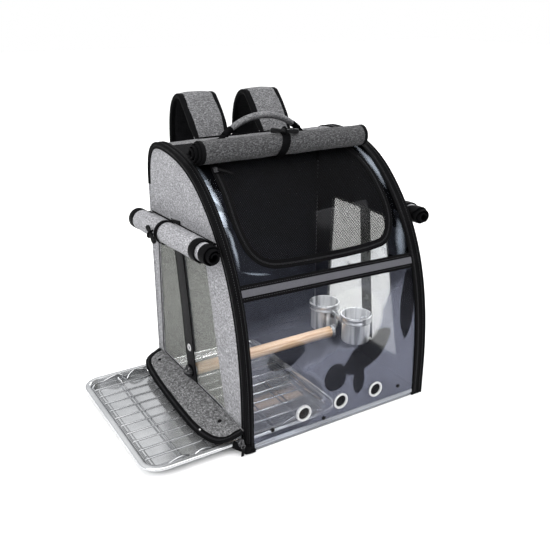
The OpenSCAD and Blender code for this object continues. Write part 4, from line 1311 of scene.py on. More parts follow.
def cover_rolls():
    # front cover: the cloth comes off the top seam, over the roll and inwards
    yc, zt = 3.0, 417.4
    seam_y = 42.0
    zs = float(prof(s_at_y(seam_y))[1])
    c = np.array([yc, zt])
    tail = [(seam_y - yc, zs + 1.2 - zt), (seam_y - 7 - yc, zs + 1.3 - zt), (21.0, -9.6)]
    ob, bd, ln, L = spiral_cover("front_roll_cloth", (-155, yc, zt), (147, yc, zt), (0, 1, 0), -18, 1, 18.5, (1.6, 0.46), 4.0, tail, [M["grey_dark"], M["black_cloth"]], 41,
                                 protrude=(lambda q: step_up(q, 0.55, 0.5, 4.0) + step_up(q, 1.5, 0.8, 5.0) + step_up(q, 2.6, 0.8, 3.0), lambda q: 1 - step_up(q, 0.8, 1.0, 3.0)), taper=0.045)
    put(ob, B, "front_cover_roll", slot="grey_fabric")
    for o in bd:
        put(o, B)
    # elastic loop, lying at a slant, and its bar toggle
    ang = np.linspace(0, 2 * math.pi, 72, endpoint=False)
    k = math.tan(math.radians(20))
    P = np.stack([-14.5 + k * 18.9 * np.sin(ang), yc + 18.9 * np.cos(ang), zt + 18.9 * np.sin(ang)], -1)
    up = np.stack([np.zeros(72), np.cos(ang), np.sin(ang)], -1)
    lp = sweep("front_roll_elastic", P, box_sec(14.0, 1.3, 0.5, 2), M["black_web"], closed=True, up=up)
    put(sharpen(lp, 50), B, "front_roll_loop", slot="black_fabric")
    tc = np.array([-10.0, yc + 23.4 * math.cos(math.radians(110)), zt + 23.4 * math.sin(math.radians(110))])
    t14, c20, s20 = math.radians(14), math.cos(math.radians(20)), math.sin(math.radians(20))
    bd_ = (math.cos(t14), -c20 * math.sin(t14), -s20 * math.sin(t14))
    bar = [(0, -23.3), (2.4, -23.1), (3.8, -21.8), (4.1, -18), (3.8, -13), (3.0, -8.5), (2.7, -3.4), (4.2, -2.6), (4.4, 0), (4.2, 2.6), (2.7, 3.4), (3.0, 8.5), (3.8, 13), (4.1, 18), (3.8, 21.8), (2.4, 23.1), (0, 23.3)]
    tg = lathe("front_bar_toggle", bar, tc, bd_, M["plastic"], 28)
    put(tg, "top_toggle", "front_toggle", slot="black_plastic")
    # short loop of elastic that holds the bar
    rad = np.array([0, math.cos(math.radians(110)), math.sin(math.radians(110))])
    tan_ = np.array([0, -rad[2], rad[1]])
    P = np.array([tc + tan_ * a + rad * b for a, b in ((-7.5, -3.4), (-5.0, 1.2), (-1.6, 4.6), (2.0, 4.6), (4.9, 1.4), (7.5, -3.2))])
    tl = sweep("front_toggle_loop", spline(P, 6, closed=False), box_sec(5.0, 1.1, 0.4, 2), M["black_web"], up=(1, 0, 0))
    put(tl, B)
    # side covers
    for tag, sx in (("left", -1), ("right", 1)):
        A = np.array([sx * 192.44, -81, 296.74])
        Bq = np.array([sx * 198.6, 151, 288.53])
        # plane across the axis: e1 points away from the wall, e2 = axis x e1
        ax = (Bq - A) / np.linalg.norm(Bq - A)
        e1 = np.array([sx, 0, 0.0])
        e1 = e1 - e1 @ ax * ax
        e1 /= np.linalg.norm(e1)
        e2 = np.cross(ax, e1)
        upz = 1 if e2[2] > 0 else -1
        ctr = (A + Bq) / 2
        wall = 172.6 - abs(ctr[0])
        tail = [(wall + 0.8, upz * 7.5), (wall + 3.6, upz * 8.4), (-16.3, upz * 7.6)]
        pro = (lambda q: 1.5 * min(q, 1.0) + step_up(q, 0.86, 0.22, 24) + step_up(q, 1.9, 0.25, 8), lambda q: -step_up(q, 0.9, 0.5, 5))
        ob, bd, ln, L = spiral_cover(f"{tag}_roll_cloth", A, Bq, e1, upz * 150, -upz, 17.3, (1.7, 0.55), 3.4, tail, [M["grey_light"], M["black_cloth"]], 51 + sx, protrude=pro, bind=17.0)
        put(ob, B, f"{tag}_cover_roll", slot="grey_fabric")
        for o in bd:
            put(o, B)
        # elastic loop, starting and ending at the wall seam
        m = A + ax * 123.5
        ang = np.linspace(0, 2 * math.pi, 60, endpoint=False)
        P = m + 18.2 * (e1 * np.cos(ang)[:, None] + e2 * np.sin(ang)[:, None])
        up = e1 * np.cos(ang)[:, None] + e2 * np.sin(ang)[:, None]
        lp = sweep(f"{tag}_roll_elastic", P, box_sec(10.0, 1.3, 0.5, 2), M["black_web"], closed=True, up=up)
        put(sharpen(lp, 50), B, f"{tag}_roll_loop", slot="black_fabric")
        tc = np.array([sx * 218.8, 47, 292.2])
        bar = [(0, -17), (2.2, -16.8), (3.5, -15.6), (3.8, -12.6), (3.5, -8.5), (2.7, -5), (2.6, -2.4), (3.7, -1.8), (3.8, 0), (3.7, 1.8), (2.6, 2.4), (2.7, 5), (3.5, 8.5), (3.8, 12.6), (3.5, 15.6), (2.2, 16.8), (0, 17)]
        tg = lathe(f"{tag}_bar_toggle", bar, tc, (0, 0.8, 0.6), M["plastic"], 26)
        put(tg, f"{tag}_bar", f"{tag}_toggle", slot="black_plastic")
        P = np.array([tc + np.array([sx * a, b, c_]) for a, b, c_ in ((-3.2, -3.5, 6.6), (0.6, -2.4, 5.4), (3.6, -0.8, 3.4), (4.6, 0.4, -0.4), (3.2, 1.6, -4.0), (-0.4, 2.4, -5.2), (-3.4, 2.8, -5.0))])
        tl = sweep(f"{tag}_toggle_loop", spline(P, 6, closed=False), box_sec(4.2, 1.1, 0.4, 2), M["black_web"], up=(0, 0.8, 0.6))
        put(tl, B)
        # stitched seam on the wall, where the cover hangs
        y = np.linspace(-76, 150, 44)
        P = np.stack([np.full(44, sx * 173.2), y, np.interp(y, [-76, 150], [305.2, 297.2])], -1)
        sm = tube(f"{tag}_cover_seam", P, 1.3, M["black_tape"], 10)
        put(sm, B)


# ------------------------------------------------------------------
# webbing over the side windows
# ------------------------------------------------------------------
def webbing():
    t = np.linspace(0, 1, 60)
    left_c = np.stack([54 * (1 - t) ** 2 + 68 * (1 - t) * t + 14 * t * t, 306 * (1 - t) + 40 * t], -1)
    right_c = np.stack([18 - 28 * t, 306 - 263 * t], -1)
    for tag, sx, c, w, eye in (("left", -1, left_c, 31.0, (22.5, 97)), ("right", 1, right_c, 27.0, (-3, 119))):
        P = np.stack([np.full(60, sx * 173.3) + sx * 0.35 * np.sin(t * 9), c[:, 0], c[:, 1]], -1)
        sec = box_sec(w, 1.5, 0.6, 2)
        ob = sweep(f"{tag}_hang_strap", P, sec, M["web_twill"], up=(sx, 0, 0))
        sharpen(ob, 50)
        put(ob, B, f"{tag}_webbing", slot="black_fabric")
        uvs = []
        for k in range(60):
            for q in sec:
                uvs.append((q[0], t[k] * 270))
        set_uv(ob, uvs)
        # selvedge beads
        for k, e in enumerate((-w / 2 + 0.7, w / 2 - 0.7)):
            Q = P + np.stack([np.full(60, sx * 0.55), np.full(60, e), np.zeros(60)], -1)
            put(tube(f"{tag}_selvedge_{k}", Q, 0.7, M["black_web"], 8), B)
        pr = [(3.1, -1.4), (3.0, 1.2), (3.4, 2.0), (4.4, 2.3), (5.6, 2.0), (6.4, 1.3), (6.3, 0.8), (4.2, 0.7), (4.0, -1.2)]
        g = lathe(f"{tag}_grommet", pr, (sx * 173.3, eye[0], eye[1]), (sx, 0, 0), M["ring"], 40, close=True)
        put(g, B, "webbing_eyelets", slot="eyelet_metal")
        hole = lathe(f"{tag}_grommet_back", [(0, 0.0), (3.4, 0.0), (3.4, 0.9), (0, 0.9)], (sx * 173.5, eye[0], eye[1]), (sx, 0, 0), M["black_cloth"], 24)
        put(hole, B)


# ------------------------------------------------------------------
# perch, knob, cups
# ------------------------------------------------------------------
PY, PZ = 18.0, 57.0


def perch():
    pr = [(0, -167), (8.6, -167), (10, -165.6), (10, 110.4), (9.2, 112), (0, 112)]
    ob = lathe("perch_rod", [(r, h) for r, h in pr], (0, PY, PZ), (1, 0, 0), M["wood"], 48)
    sharpen(ob, 30)
    put(ob, B, "perch_dowel", slot="wood")
    # star knob with six lobes
    seg = 72
    prof_ = [(0, 0.0), (8.2, 0.0), (10.0, 0.8), (10.9, 2.6), (10.9, 5.4), (10.2, 7.6), (8.2, 9.4), (6.0, 10.6), (5.2, 12.2), (3.8, 13.6), (0, 14.0)]
    v, fs = [], []
    for r, h in prof_:
        for k in range(seg):
            a = 2 * math.pi * k / seg
            q = r * (1 - (0.10 if 0.8 < h < 9 else 0.02) * (1 - math.cos(6 * a)) * 0.5)
            v.append((-HW - 2.2 - h, PY + q * math.cos(a), PZ + q * math.sin(a)))
    n = len(prof_)
    for i in range(n - 1):
        for k in range(seg):
            fs.append((i * seg + k, (i + 1) * seg + k, (i + 1) * seg + (k + 1) % seg, i * seg + (k + 1) % seg))
    ob = mesh("perch_star_knob", v, fs, M["plastic_gloss"])
    m = ob.modifiers.new("weld", "WELD")
    m.merge_threshold = 0.00002
    put(ob, "perch_nut", "perch_knob", slot="black_plastic")
    # bracket, rounded plate
    pl, f = blob_grid([tuple(q) for q in round_poly([(10, 47), (26, 47), (26, 96), (10, 96)], 4, 5)], [], 4.0)
    o = np.stack([np.full(len(pl), 114.2), pl[:, 0], pl[:, 1]], -1)
    i_ = np.stack([np.full(len(pl), 112.3), pl[:, 0], pl[:, 1]], -1)
    br = shell("perch_plate", o, i_, f, [M["steel"], M["steel"]])
    put(br, B, "perch_bracket", slot="steel")
    for k, z in enumerate((PZ, 88)):
        hx = lathe(f"clamp_nut_{k}", [(0, 0), (4.7, 0), (5.0, 0.5), (5.0, 3.0), (4.4, 3.6), (2.4, 3.8), (2.3, 6.2), (0, 6.4)], (114.3 if k == 0 else 118.2, PY, z), (1, 0, 0), M["black_metal"], 6 if k else 24)
        sharpen(hx, 25)
        put(hx, B, *(["cup_clamp_bolt"] if k == 0 else []), slot="black_metal")
    hd = lathe("clamp_head", [(0, 0), (4.2, 0), (4.6, -0.6), (4.4, -2.0), (3.0, -3.2), (0, -3.6)][::-1], (112.2, PY, 88), (1, 0, 0), M["black_metal"], 24)
    put(hd, B)
    # small collar of the perch end
    col = lathe("perch_collar", [(0, 0), (10.6, 0), (11.2, 0.5), (11.2, 5.5), (10.6, 6.0), (10.1, 6.0), (10.1, 5.4)], (112.1, PY, PZ), (-1, 0, 0), M["steel"], 40)
    sharpen(col, 30)
    put(col, B)


CF, CR = (136.5, -20.0), (121.0, 57.0)


def cups():
    pr = [(0, 49.0), (22.8, 49.0), (24.6, 49.6), (25.8, 51.2), (26.2, 53.5), (26.3, 97.2), (26.6, 98.6), (27.4, 99.2), (28.1, 99.6), (28.3, 100.3), (27.9, 100.9), (27.2, 101.1),
          (26.2, 100.8), (25.7, 99.8), (25.5, 98.5), (25.4, 54.0), (24.6, 51.2), (22.6, 50.2), (0, 49.9)]
    for tag, c, body in (("front", CF, "front_cup"), ("rear", CR, "rear_cup")):
        ob = lathe(f"{tag}_steel_cup", pr, (c[0], c[1], 0), (0, 0, 1), M["steel_cup"], 64)
        sharpen(ob, 35)
        put(ob, body, f"cup_{tag}", slot="steel")
        rg = [(27.0, 87.9), (27.0, 98.6), (27.3, 98.85), (28.2, 98.85), (28.5, 98.5), (28.6, 97.2), (28.2, 96.6), (28.2, 90.0), (28.6, 89.4), (28.5, 88.2), (28.2, 87.8), (27.3, 87.8)]
        ring = lathe(f"{tag}_ring_band", rg, (c[0], c[1], 0), (0, 0, 1), M["steel"], 64, close=True)
        sharpen(ring, 35)
        parts = [ring]
        if tag == "front":
            def plate(pts, n, t, nm):
                pts = np.array(pts, float)
                n = np.array(n, float) * t
                return shell(nm, pts + n, pts, [list(range(len(pts)))[:3], [0, 2, 3]], [M["steel"]])
            parts.append(plate([(116.2, -1, 82), (116.2, 25, 82), (116.2, 25, 94), (116.2, -1, 94)], (-1, 0, 0), -1.5, "l1"))
            parts.append(plate([(114.6, -1.8, 82), (121, -1.8, 82), (121, -1.8, 94), (114.6, -1.8, 94)], (0, 1, 0), 1.5, "l2"))
            parts.append(plate([(149.5, -17.5, 75), (167.6, -17.5, 75), (167.6, -17.5, 89.6), (149.5, -17.5, 89.6)], (0, 1, 0), 1.4, "l3"))
            parts.append(plate([(166.3, -17.5, 75), (166.3, -3, 75), (166.3, -3, 89.6), (166.3, -17.5, 89.6)], (1, 0, 0), 1.4, "l4"))
        else:
            def plate(pts, n, t, nm):
                pts = np.array(pts, float)
                n = np.array(n, float) * t
                return shell(nm, pts + n, pts, [[0, 1, 2], [0, 2, 3]], [M["steel"]])
            parts.append(plate([(116.3, 10, 82), (116.3, 32, 82), (116.3, 32, 94), (116.3, 10, 94)], (1, 0, 0), 1.5, "r1"))
        ro = join(f"{tag}_cup_holder", parts)
        put(ro, B, f"cup_ring_{tag}", slot="steel")
    # wall fixing: shaft and inner washer
    pr = [(0, -8.5), (4.4, -8.5), (5.1, -8.0), (5.1, -6.6), (4.6, -6.1), (2.6, -6.1), (2.6, 7.4), (2.2, 8), (0, 8)]
    ws = lathe("wall_stud", pr, (HW, -10, 82), (1, 0, 0), M["black_metal"], 32)
    sharpen(ws, 30)
    put(ws, "wall_fixing", "wall_screw", slot="black_metal")
    for q in ((158.5, -29.5), (121.0, -27.0)):
        pass


# ------------------------------------------------------------------
# tray and rack
# ------------------------------------------------------------------
TX0, TX1, TY0, TY1 = -325.0, 13.0, -152.0, 148.0


def rloop(i, z, r=30.0, n=9, wob=0.0):
    r = max(2.0, r - i)
    out = []
    for cx, cy, a0 in ((TX1 - i - r, TY0 + i + r, 270), (TX1 - i - r, TY1 - i - r, 0), (TX0 + i + r, TY1 - i - r, 90), (TX0 + i + r, TY0 + i + r, 180)):
        for k in range(n + 1):
            a = math.radians(a0 + 90 * k / n)
            out.append((cx + r * math.cos(a), cy + r * math.sin(a), z))
    return out


def tray_piece():
    pr = [(34, 5.15), (24, 5.35), (17.5, 5.3), (14.5, 5.5), (12.4, 6.4), (11.2, 8.2), (10.4, 11.0), (9.9, 14.5), (9.3, 16.8), (8.2, 17.8), (6.8, 18.1), (3.4, 18.1), (1.8, 17.8), (0.6, 16.9), (0.05, 15.6),
          (0.2, 14.3), (1.0, 13.6), (1.9, 13.7), (2.1, 14.4), (1.5, 15.2), (1.7, 16.2), (3.0, 17.0), (6.6, 17.1), (7.9, 16.8), (8.6, 15.8), (9.2, 13.8), (9.9, 9.2), (10.8, 6.4), (12.2, 5.0), (14.6, 4.4), (17.5, 4.3), (34, 4.3)]
    rings = [rloop(i, z, 31) for i, z in pr]
    nv = len(rings[0])
    V = np.array(rings).reshape(-1, 3)
    f = grid_faces(len(rings), nv, False, True)
    f = [q[::-1] for q in f]
    f.append(list(range(nv)))
    f.append([(len(rings) - 1) * nv + k for k in range(nv)][::-1])
    ob = mesh("steel_tray", V, f, M["steel_tray"])
    sharpen(ob, 45)
    put(ob, "tray_drawer", "tray", slot="steel")
    # raised rib round the floor
    rib = resample([(p[0], p[1]) for p in rloop(22, 0, 31)], 6)
    P = np.stack([rib[:, 0], rib[:, 1], np.full(len(rib), 5.2)], -1)
    rb = sweep("tray_floor_rib", P, [(-3.2, 0), (-1.6, 0.8), (0, 1.15), (1.6, 0.8), (3.2, 0), (0, -0.4)], M["steel_tray"], closed=True, up=(0, 0, 1))
    put(rb, "tray_drawer")


def rack():
    rx0, rx1, ry0, ry1 = -312.0, 0.0, -139.0, 135.0
    z0 = 12.2
    obs = []

    def rr_path(i, r=17, n=8):
        out = []
        x0, x1, y0, y1 = rx0 + i, rx1 - i, ry0 + i, ry1 - i
        for cx, cy, a0 in ((x1 - r, y0 + r, 270), (x1 - r, y1 - r, 0), (x0 + r, y1 - r, 90), (x0 + r, y0 + r, 180)):
            for k in range(n + 1):
                a = math.radians(a0 + 90 * k / n)
                out.append((cx + r * math.cos(a), cy + r * math.sin(a)))
        return out
    fr = resample(rr_path(0), 6)
    obs.append(tube("f", np.stack([fr[:, 0], fr[:, 1], np.full(len(fr), z0)], -1), 1.8, M["wire"], 10, closed=True))
    for k in range(1, 11):
        y = ry0 + (ry1 - ry0) * k / 11
        x = np.concatenate([[rx0 - 0.6, rx0 + 1.5], np.linspace(rx0 + 6, rx1 - 6, 10), [rx1 - 1.5, rx1 + 0.6]])
        z = np.full(len(x), z0 + 1.5)
        z[0] = z[-1] = z0 + 0.4
        z[1] = z[-2] = z0 + 1.4
        obs.append(tube("w", np.stack([x, np.full(len(x), y), z], -1), 1.25, M["wire"], 8))
    for x in (rx0 + 50, rx0 + 104, rx1 - 104, rx1 - 50):
        y = np.linspace(ry0 - 0.5, ry1 + 0.5, 14)
        z = np.full(len(y), z0 - 1.6)
        z[0] = z[-1] = z0
        obs.append(tube("c", np.stack([np.full(len(y), x), y, z], -1), 1.5, M["wire"], 8))
    # bent feet: the frame wire is carried on V shaped loops at the four corners
    for ysg, y in ((-1, ry0), (1, ry1)):
        for xc in (-248.0, -58.0):
            pts = [(xc - 40, y, z0 + 0.2), (xc - 27, y, z0 + 4.6), (xc - 15, y, z0 + 6.0), (xc - 6, y - ysg * 1.5, z0 + 1.5), (xc, y - ysg * 3, z0 - 5.2), (xc + 6, y - ysg * 1.5, z0 + 1.5), (xc + 15, y, z0 + 6.0), (xc + 27, y, z0 + 4.6), (xc + 40, y, z0 + 0.2)]
            obs.append(tube("v", spline(pts, 6, closed=False), 1.7, M["wire"], 8))
    ob = join("rack_wires", obs)
    put(ob, "tray_drawer", "wire_rack", slot="rack_wire")


# ------------------------------------------------------------------
# flap over the tray slot
# ------------------------------------------------------------------
FLH = (-175.0, 37.5)
FLAP = [(0, 152.5), (17, 150.5), (27, 145), (34, 133), (38.5, 112), (41.5, 82), (44.5, 40), (46.8, -10), (48.2, -60), (47.5, -92), (44.0, -120), (37, -141), (25, -152.5), (10, -156), (0, -156.5)]


def flap_surface(v, y):
    """v is the distance out from the hinge line, measured along the flap"""
    v, y = np.asarray(v, float), np.asarray(y, float)
    lim = np.interp(-y, [-153, -133, -82, 10, 92, 141, 157], [6, 34, 41.5, 46.8, 47.5, 37, 6])
    q = np.clip(v / lim, 0, 1.15)
    a = math.radians(17)
    belly = 3.6 * np.sin(np.pi * np.clip(q, 0, 1)) * np.clip(1 - (np.abs(y + 2) / 158) ** 4, 0, 1)
    w = smooth_noise(np.stack([v * 1.2, y], -1), 60, 61) * 1.5 + smooth_noise(np.stack([v, y * 0.8], -1), 24, 62) * 0.55
    h = belly + w * np.clip(v / 9, 0, 1) * np.clip((lim - v) / 10 + 0.25, 0.25, 1)
    x = FLH[0] - v * math.cos(a) - h * math.sin(a)
    z = FLH[1] - v * math.sin(a) * 1.0 + h * math.cos(a)
    z = z - 0.0020 * np.clip(v, 0, 60) ** 2
    return np.stack([x, y, z], -1)


def flap():
    out = spline(FLAP, 6, closed=False)
    loop = np.vstack([out, [(0, -156.5), (0, 152.5)]])
    pts = [tuple(q) for q in resample(loop, 5)]
    v, f = blob_grid(pts, [], 5.0)
    O = flap_surface(v[:, 0], v[:, 1])
    I = O - np.array([0.3, 0, 1.3])
    ob = shell("flap_cloth", O, I, f, [M["grey_flap"], M["black_cloth"]])
    put(ob, "flap", "tray_flap", slot="grey_fabric")
    cut(loop)
    # zip tape along the free edge
    ed = resample(out, 3.2, closed=False)
    t = np.gradient(ed, axis=0)
    t /= np.linalg.norm(t, axis=1)[:, None]
    nin = np.stack([t[:, 1], -t[:, 0]], -1)
    cen = np.array([24.0, 0])
    if ((cen - ed) * nin).sum() < 0:
        nin = -nin
    P0 = flap_surface(ed[:, 0], ed[:, 1])
    P1 = flap_surface(ed[:, 0] + nin[:, 0] * 4.0, ed[:, 1] + nin[:, 1] * 4.0)
    acr = P1 - P0
    acr /= np.linalg.norm(acr, axis=1)[:, None]
    T = np.gradient(P0, axis=0)
    T /= np.linalg.norm(T, axis=1)[:, None]
    N = np.cross(T, acr)
    N[N[:, 2] < 0] *= -1
    # rows across: outer lip, coil seat, inner edge
    sec = [(-3.0, -1.8), (-3.4, -0.4), (-2.8, 0.9), (-1.8, 1.25), (-0.6, 0.9), (0.4, 0.95), (4.4, 1.0), (5.2, 1.5), (6.6, 1.55), (7.6, 1.0), (7.8, 0.3), (7.0, -1.8)]
    V = np.stack([P0 + acr * a + N * b for a, b in sec], 1)
    nv = len(sec)
    fs = grid_faces(len(P0), nv, False, True)
    fs.append(list(range(nv))[::-1])
    fs.append([(len(P0) - 1) * nv + k for k in range(nv)])
    tp = mesh("flap_zip_tape", V.reshape(-1, 3), fs, M["black_tape"])
    sharpen(tp, 50)
    put(tp, "flap", slot="black_fabric")
    ed2 = resample(out, 2.1, closed=False)
    Q0 = flap_surface(ed2[:, 0], ed2[:, 1])
    TT = np.gradient(Q0, axis=0)
    TT /= np.linalg.norm(TT, axis=1)[:, None]
    idx = np.clip(np.linspace(0, len(P0) - 1, len(Q0)).round().astype(int), 0, len(P0) - 1)
    NN = N[idx]
    AA = acr[idx]
    co = blocks("flap_zip_coil", Q0 + AA * 2.3 + NN * 0.9, TT, NN, (1.25, 2.8, 0.8), M["coil"])
    put(co, "flap")
    # seam where it joins the panel
    y = np.linspace(-156, 152.5, 70)
    P = flap_surface(np.zeros(70), y) + np.array([0.8, 0, 0.9])
    put(tube("flap_top_seam", P, 1.3, M["grey_flap"], 8), B)
    P = np.stack([np.full(70, -172.45), y, np.full(70, 43.2)], -1)
    put(dashes("flap_top_stitch", P, (-1, 0, 0), M["stitch_grey"]), B)
    for i, (v_, y_) in enumerate(((15, 118), (15, -112))):
        p = flap_surface(np.array([v_]), np.array([y_]))[0]
        ob = lathe(f"flap_stud_{i}", [(0, -1.0), (1.5, -1.0), (1.5, 0.3), (3.2, 0.4), (3.3, 0.9), (2.6, 1.7), (1.2, 2.1), (0, 2.2)], p, (-0.26, 0, 0.966), M["plastic"], 24)
        put(ob, "flap", "flap_rivets", slot="black_plastic")
    # bright press stud on the tape
    v_, y_ = 43.0, -98.0
    p = flap_surface(np.array([v_]), np.array([y_]))[0]
    put(lathe("flap_bright_stud", [(0, -0.5), (2.0, -0.5), (2.1, 0.8), (1.6, 1.6), (0, 1.9)], p, (-0.26, 0, 0.966), M["ring"], 20), "flap")
    # zip slider with its pull at the foot of the left band
    fx, fy_, fz = -181.0, -161.8, 24.0
    body = []
    v2, f2 = blob_grid([tuple(q) for q in round_poly([(-4.5, -5.2), (4.5, -5.2), (3.2, 5.4), (-3.2, 5.4)], 1.6, 4)], [], 2.0)
    o = np.stack([fx + v2[:, 0], np.full(len(v2), fy_ - 2.6), fz + v2[:, 1]], -1)
    i_ = o + np.array([0, 6.0, 0])
    sl = shell("s", o, i_, f2, [M["black_metal"]])
    add_bevel(sl, 0.6, 2)
    body.append(sl)
    P = np.array([(fx, fy_ - 2.4, fz + 3.2), (fx, fy_ - 4.2, fz + 2.4), (fx, fy_ - 5.0, fz - 0.6), (fx, fy_ - 4.6, fz - 3.6), (fx, fy_ - 2.4, fz - 4.4)])
    body.append(tube("b", spline(P, 5, closed=False), 0.95, M["black_metal"], 8))
    put(join("flap_zip_slider", body), B, "flap_slider", slot="black_plastic")
    ring_ = [(fx + 3.0 * math.sin(a), fy_ - 5.4, fz - 4.0 + 3.2 * math.cos(a)) for a in np.linspace(0, 2 * math.pi, 22, endpoint=False)]
    r1 = tube("r", ring_, 0.9, M["black_metal"], 8, closed=True)
    P = np.array([(fx, fy_ - 5.3, fz - 6.2), (fx - 0.2, fy_ - 5.5, fz - 11), (fx - 0.6, fy_ - 5.6, fz - 16), (fx - 1.0, fy_ - 5.4, fz - 20.2)])
    r2_ = sweep("p", spline(P, 5, closed=False), box_sec(4.8, 1.7, 0.7, 3), M["black_cloth"], up=(0, -1, 0))
    put(join("flap_zip_pull", [r1, r2_]), "flap_tab", "flap_pull", slot="black_plastic")
    # folded end of the zip tape at the foot of the front corner
    P = np.array([(-189, -150.5, 17), (-184, -157, 15), (-178, -161.5, 12.5), (-171, -163.5, 10.0), (-166, -163.6, 8.0)])
    put(sweep("corner_tape_fold", spline(P, 6, closed=False), box_sec(11.5, 3.0, 1.2, 3), M["black_tape"], up=(-0.7, -0.7, 0.15)), B)
    P = np.array([(-176, -150, 3.2), (-173.5, -158.5, 3.2), (-168, -162.6, 3.2), (-158, -162.9, 3.2)])
    put(sweep("corner_foot_fold", spline(P, 6, closed=False), box_sec(6.0, 3.4, 1.4, 3), M["black_tape"], up=(-0.7, -0.7, 0)), B)


# ------------------------------------------------------------------
# door zip slider and its pull
# ------------------------------------------------------------------
def door_zip():
    q = bez(C2, 0.5)[0]
    sp = np.array([-134.5, q[0], q[1]])
    a = math.radians(30.5)
    n = np.array([0, -math.sin(a), math.cos(a)])
    ey = np.array([0, math.cos(a), math.sin(a)])
    ex_ = np.array([1.0, 0, 0])

    def L(x, y, z):
        return sp + ex_ * x + ey * y + n * z
    v2, f2 = blob_grid([tuple(p) for p in round_poly([(-4.0, -4.9), (4.0, -4.9), (2.8, 5.0), (-2.8, 5.0)], 1.5, 4)], [], 2.0)
    o = np.array([L(p[0], p[1], 5.2) for p in v2])
    i_ = np.array([L(p[0], p[1], 3.2) for p in v2])
    sl = shell("s", o, i_, f2, [M["black_metal"]])
    br = tube("b", spline([L(0, 3.4, 5.0), L(0, 3.0, 6.9), L(0, 0, 7.6), L(0, -3.0, 6.9), L(0, -3.4, 5.0)], 5, closed=False), 0.85, M["black_metal"], 8)
    put(join("door_zip_slider", [sl, br]), "zip_runner", "door_slider", slot="black_plastic")
    b = math.radians(-34)
    dx, dy = math.cos(b), math.sin(b)
    c = L(0, 0, 6.4)
    ring_ = [c + (ex_ * dx + ey * dy) * (3.1 * math.cos(t)) + (-ex_ * dy + ey * dx) * (3.1 * math.sin(t)) for t in np.linspace(0, 2 * math.pi, 22, endpoint=False)]
    r1 = tube("r", ring_, 0.8, M["black_metal"], 8, closed=True)
    P = [c + (ex_ * dx + ey * dy) * d + n * h for d, h in ((3.2, 0.0), (8, 0.6), (14, 0.9), (20, 0.6), (27.5, 0.2))]
    r2_ = sweep("p", spline(P, 5, closed=False), box_sec(4.6, 1.6, 0.7, 3), M["black_cloth"], up=n)
    put(join("door_zip_pull", [r1, r2_]), "zip_tab", "door_pull", slot="black_plastic")


# ------------------------------------------------------------------
# top, back and base
# ------------------------------------------------------------------
def top_and_back():
    s0, s1 = s_at_y(31.8), S_BACK + 3
    v, f = blob_grid([(-169, s0), (169, s0), (169, s1), (-169, s1)], [], 8.0)
    d = front_point_noise(v[:, 0], v[:, 1], 0.7, 130, 71) + front_point_noise(v[:, 0], v[:, 1], 0.25, 45, 72) - 0.5
    ob = shell("top_cloth", on_front(v[:, 0], v[:, 1], d), on_front(v[:, 0], v[:, 1], d - 2.0), f, [M["grey_mid"], M["lining"]])
    put(ob, B, "top_panel", slot="grey_fabric")
    # black strip across the top, from y = 30 to y = 84
    sa, sb = s_at_y(30), s_at_y(84)
    x = np.linspace(-160, 152, 60)
    sec = [(sa, 0.0), (sa, 1.2), (sa + 1.5, 1.7), (sa + 3, 1.3), (sb - 3, 1.0), (sb - 1.5, 1.5), (sb, 1.0), (sb, 0.0)]
    mid = [(sa + (sb - sa) * k / 6, 1.15) for k in range(1, 6)]
    sec = sec[:4] + mid + sec[4:]
    V = np.stack([on_front(x, np.full(len(x), a), b) for a, b in sec], 1)
    fs = grid_faces(len(x), len(sec), False, True)
    fs.append(list(range(len(sec)))[::-1])
    fs.append([(len(x) - 1) * len(sec) + k for k in range(len(sec))])
    bt = sharpen(mesh("top_black_strip", V.reshape(-1, 3), fs, M["black_cloth"]), 50)
    put(bt, B, slot="black_fabric")
    for k, sv in enumerate((sb - 3.2, sb + 4.0, S_BACK - 18)):
        n2 = pnor(np.full(60, sv))
        P = on_front(x, np.full(60, sv), 0.9 if k == 0 else 0.35)
        put(dashes(f"top_stitch_{k}", P, np.stack([np.zeros(60), n2[:, 0], n2[:, 1]], -1), M["stitch"] if k == 0 else M["stitch_grey"]), B)
    # back: padded panel with sewn channels
    x0, x1, z0, z1 = -168.5, 168.5, 1.0, 343.5
    nx, nz = 90, 90
    X, Z = np.meshgrid(np.linspace(x0, x1, nx), np.linspace(z0, z1, nz), indexing="ij")
    ex_ = np.minimum((X - x0), (x1 - X))
    ez = np.minimum((Z - z0), (z1 - Z))
    edge = np.clip(np.minimum(ex_, ez) / 16, 0, 1)
    ch = np.minimum(np.abs(((X + 168.5) % 67.4) - 0), np.abs(67.4 - ((X + 168.5) % 67.4)))
    pad = 4.2 * np.sqrt(np.clip(edge * (2 - edge), 0, 1)) * (0.35 + 0.65 * np.sqrt(np.clip(ch / 14, 0, 1)))
    pad += smooth_noise(np.stack([X, Z], -1), 90, 81) * 0.5 * edge
    Yo = BY - 0.8 + pad
    O = np.stack([X, Yo, Z], -1).reshape(-1, 3)
    I = np.stack([X, np.full_like(X, BY - 2.6), Z], -1).reshape(-1, 3)
    bp = shell("back_pad", O, I, [list(q) for q in grid_faces(nx, nz)], [M["back_mesh"], M["lining"]])
    put(bp, B, "back_panel", slot="grey_fabric")
    P = [(-166, 345), (166, 345)]
    xx = np.linspace(-168, 168, 50)
    put(sweep("back_top_binding", np.stack([xx, np.full(50, BY + 0.4), np.full(50, 345.5)], -1), box_sec(7.0, 2.4, 0.9, 3), M["black_tape"], up=(0, 1, 0)), B)
    # base edge binding along the front and back foot
    for nm, yy in (("base_front_edge", FY + 2.6), ("base_back_edge", BY - 1.2)):
        put(sweep(nm, np.stack([xx, np.full(50, yy), np.full(50, 2.4)], -1), box_sec(3.2, 4.4, 1.2, 3), M["black_tape"] if yy > 0 else M["film_hem"], up=(0, 0, 1)), B)


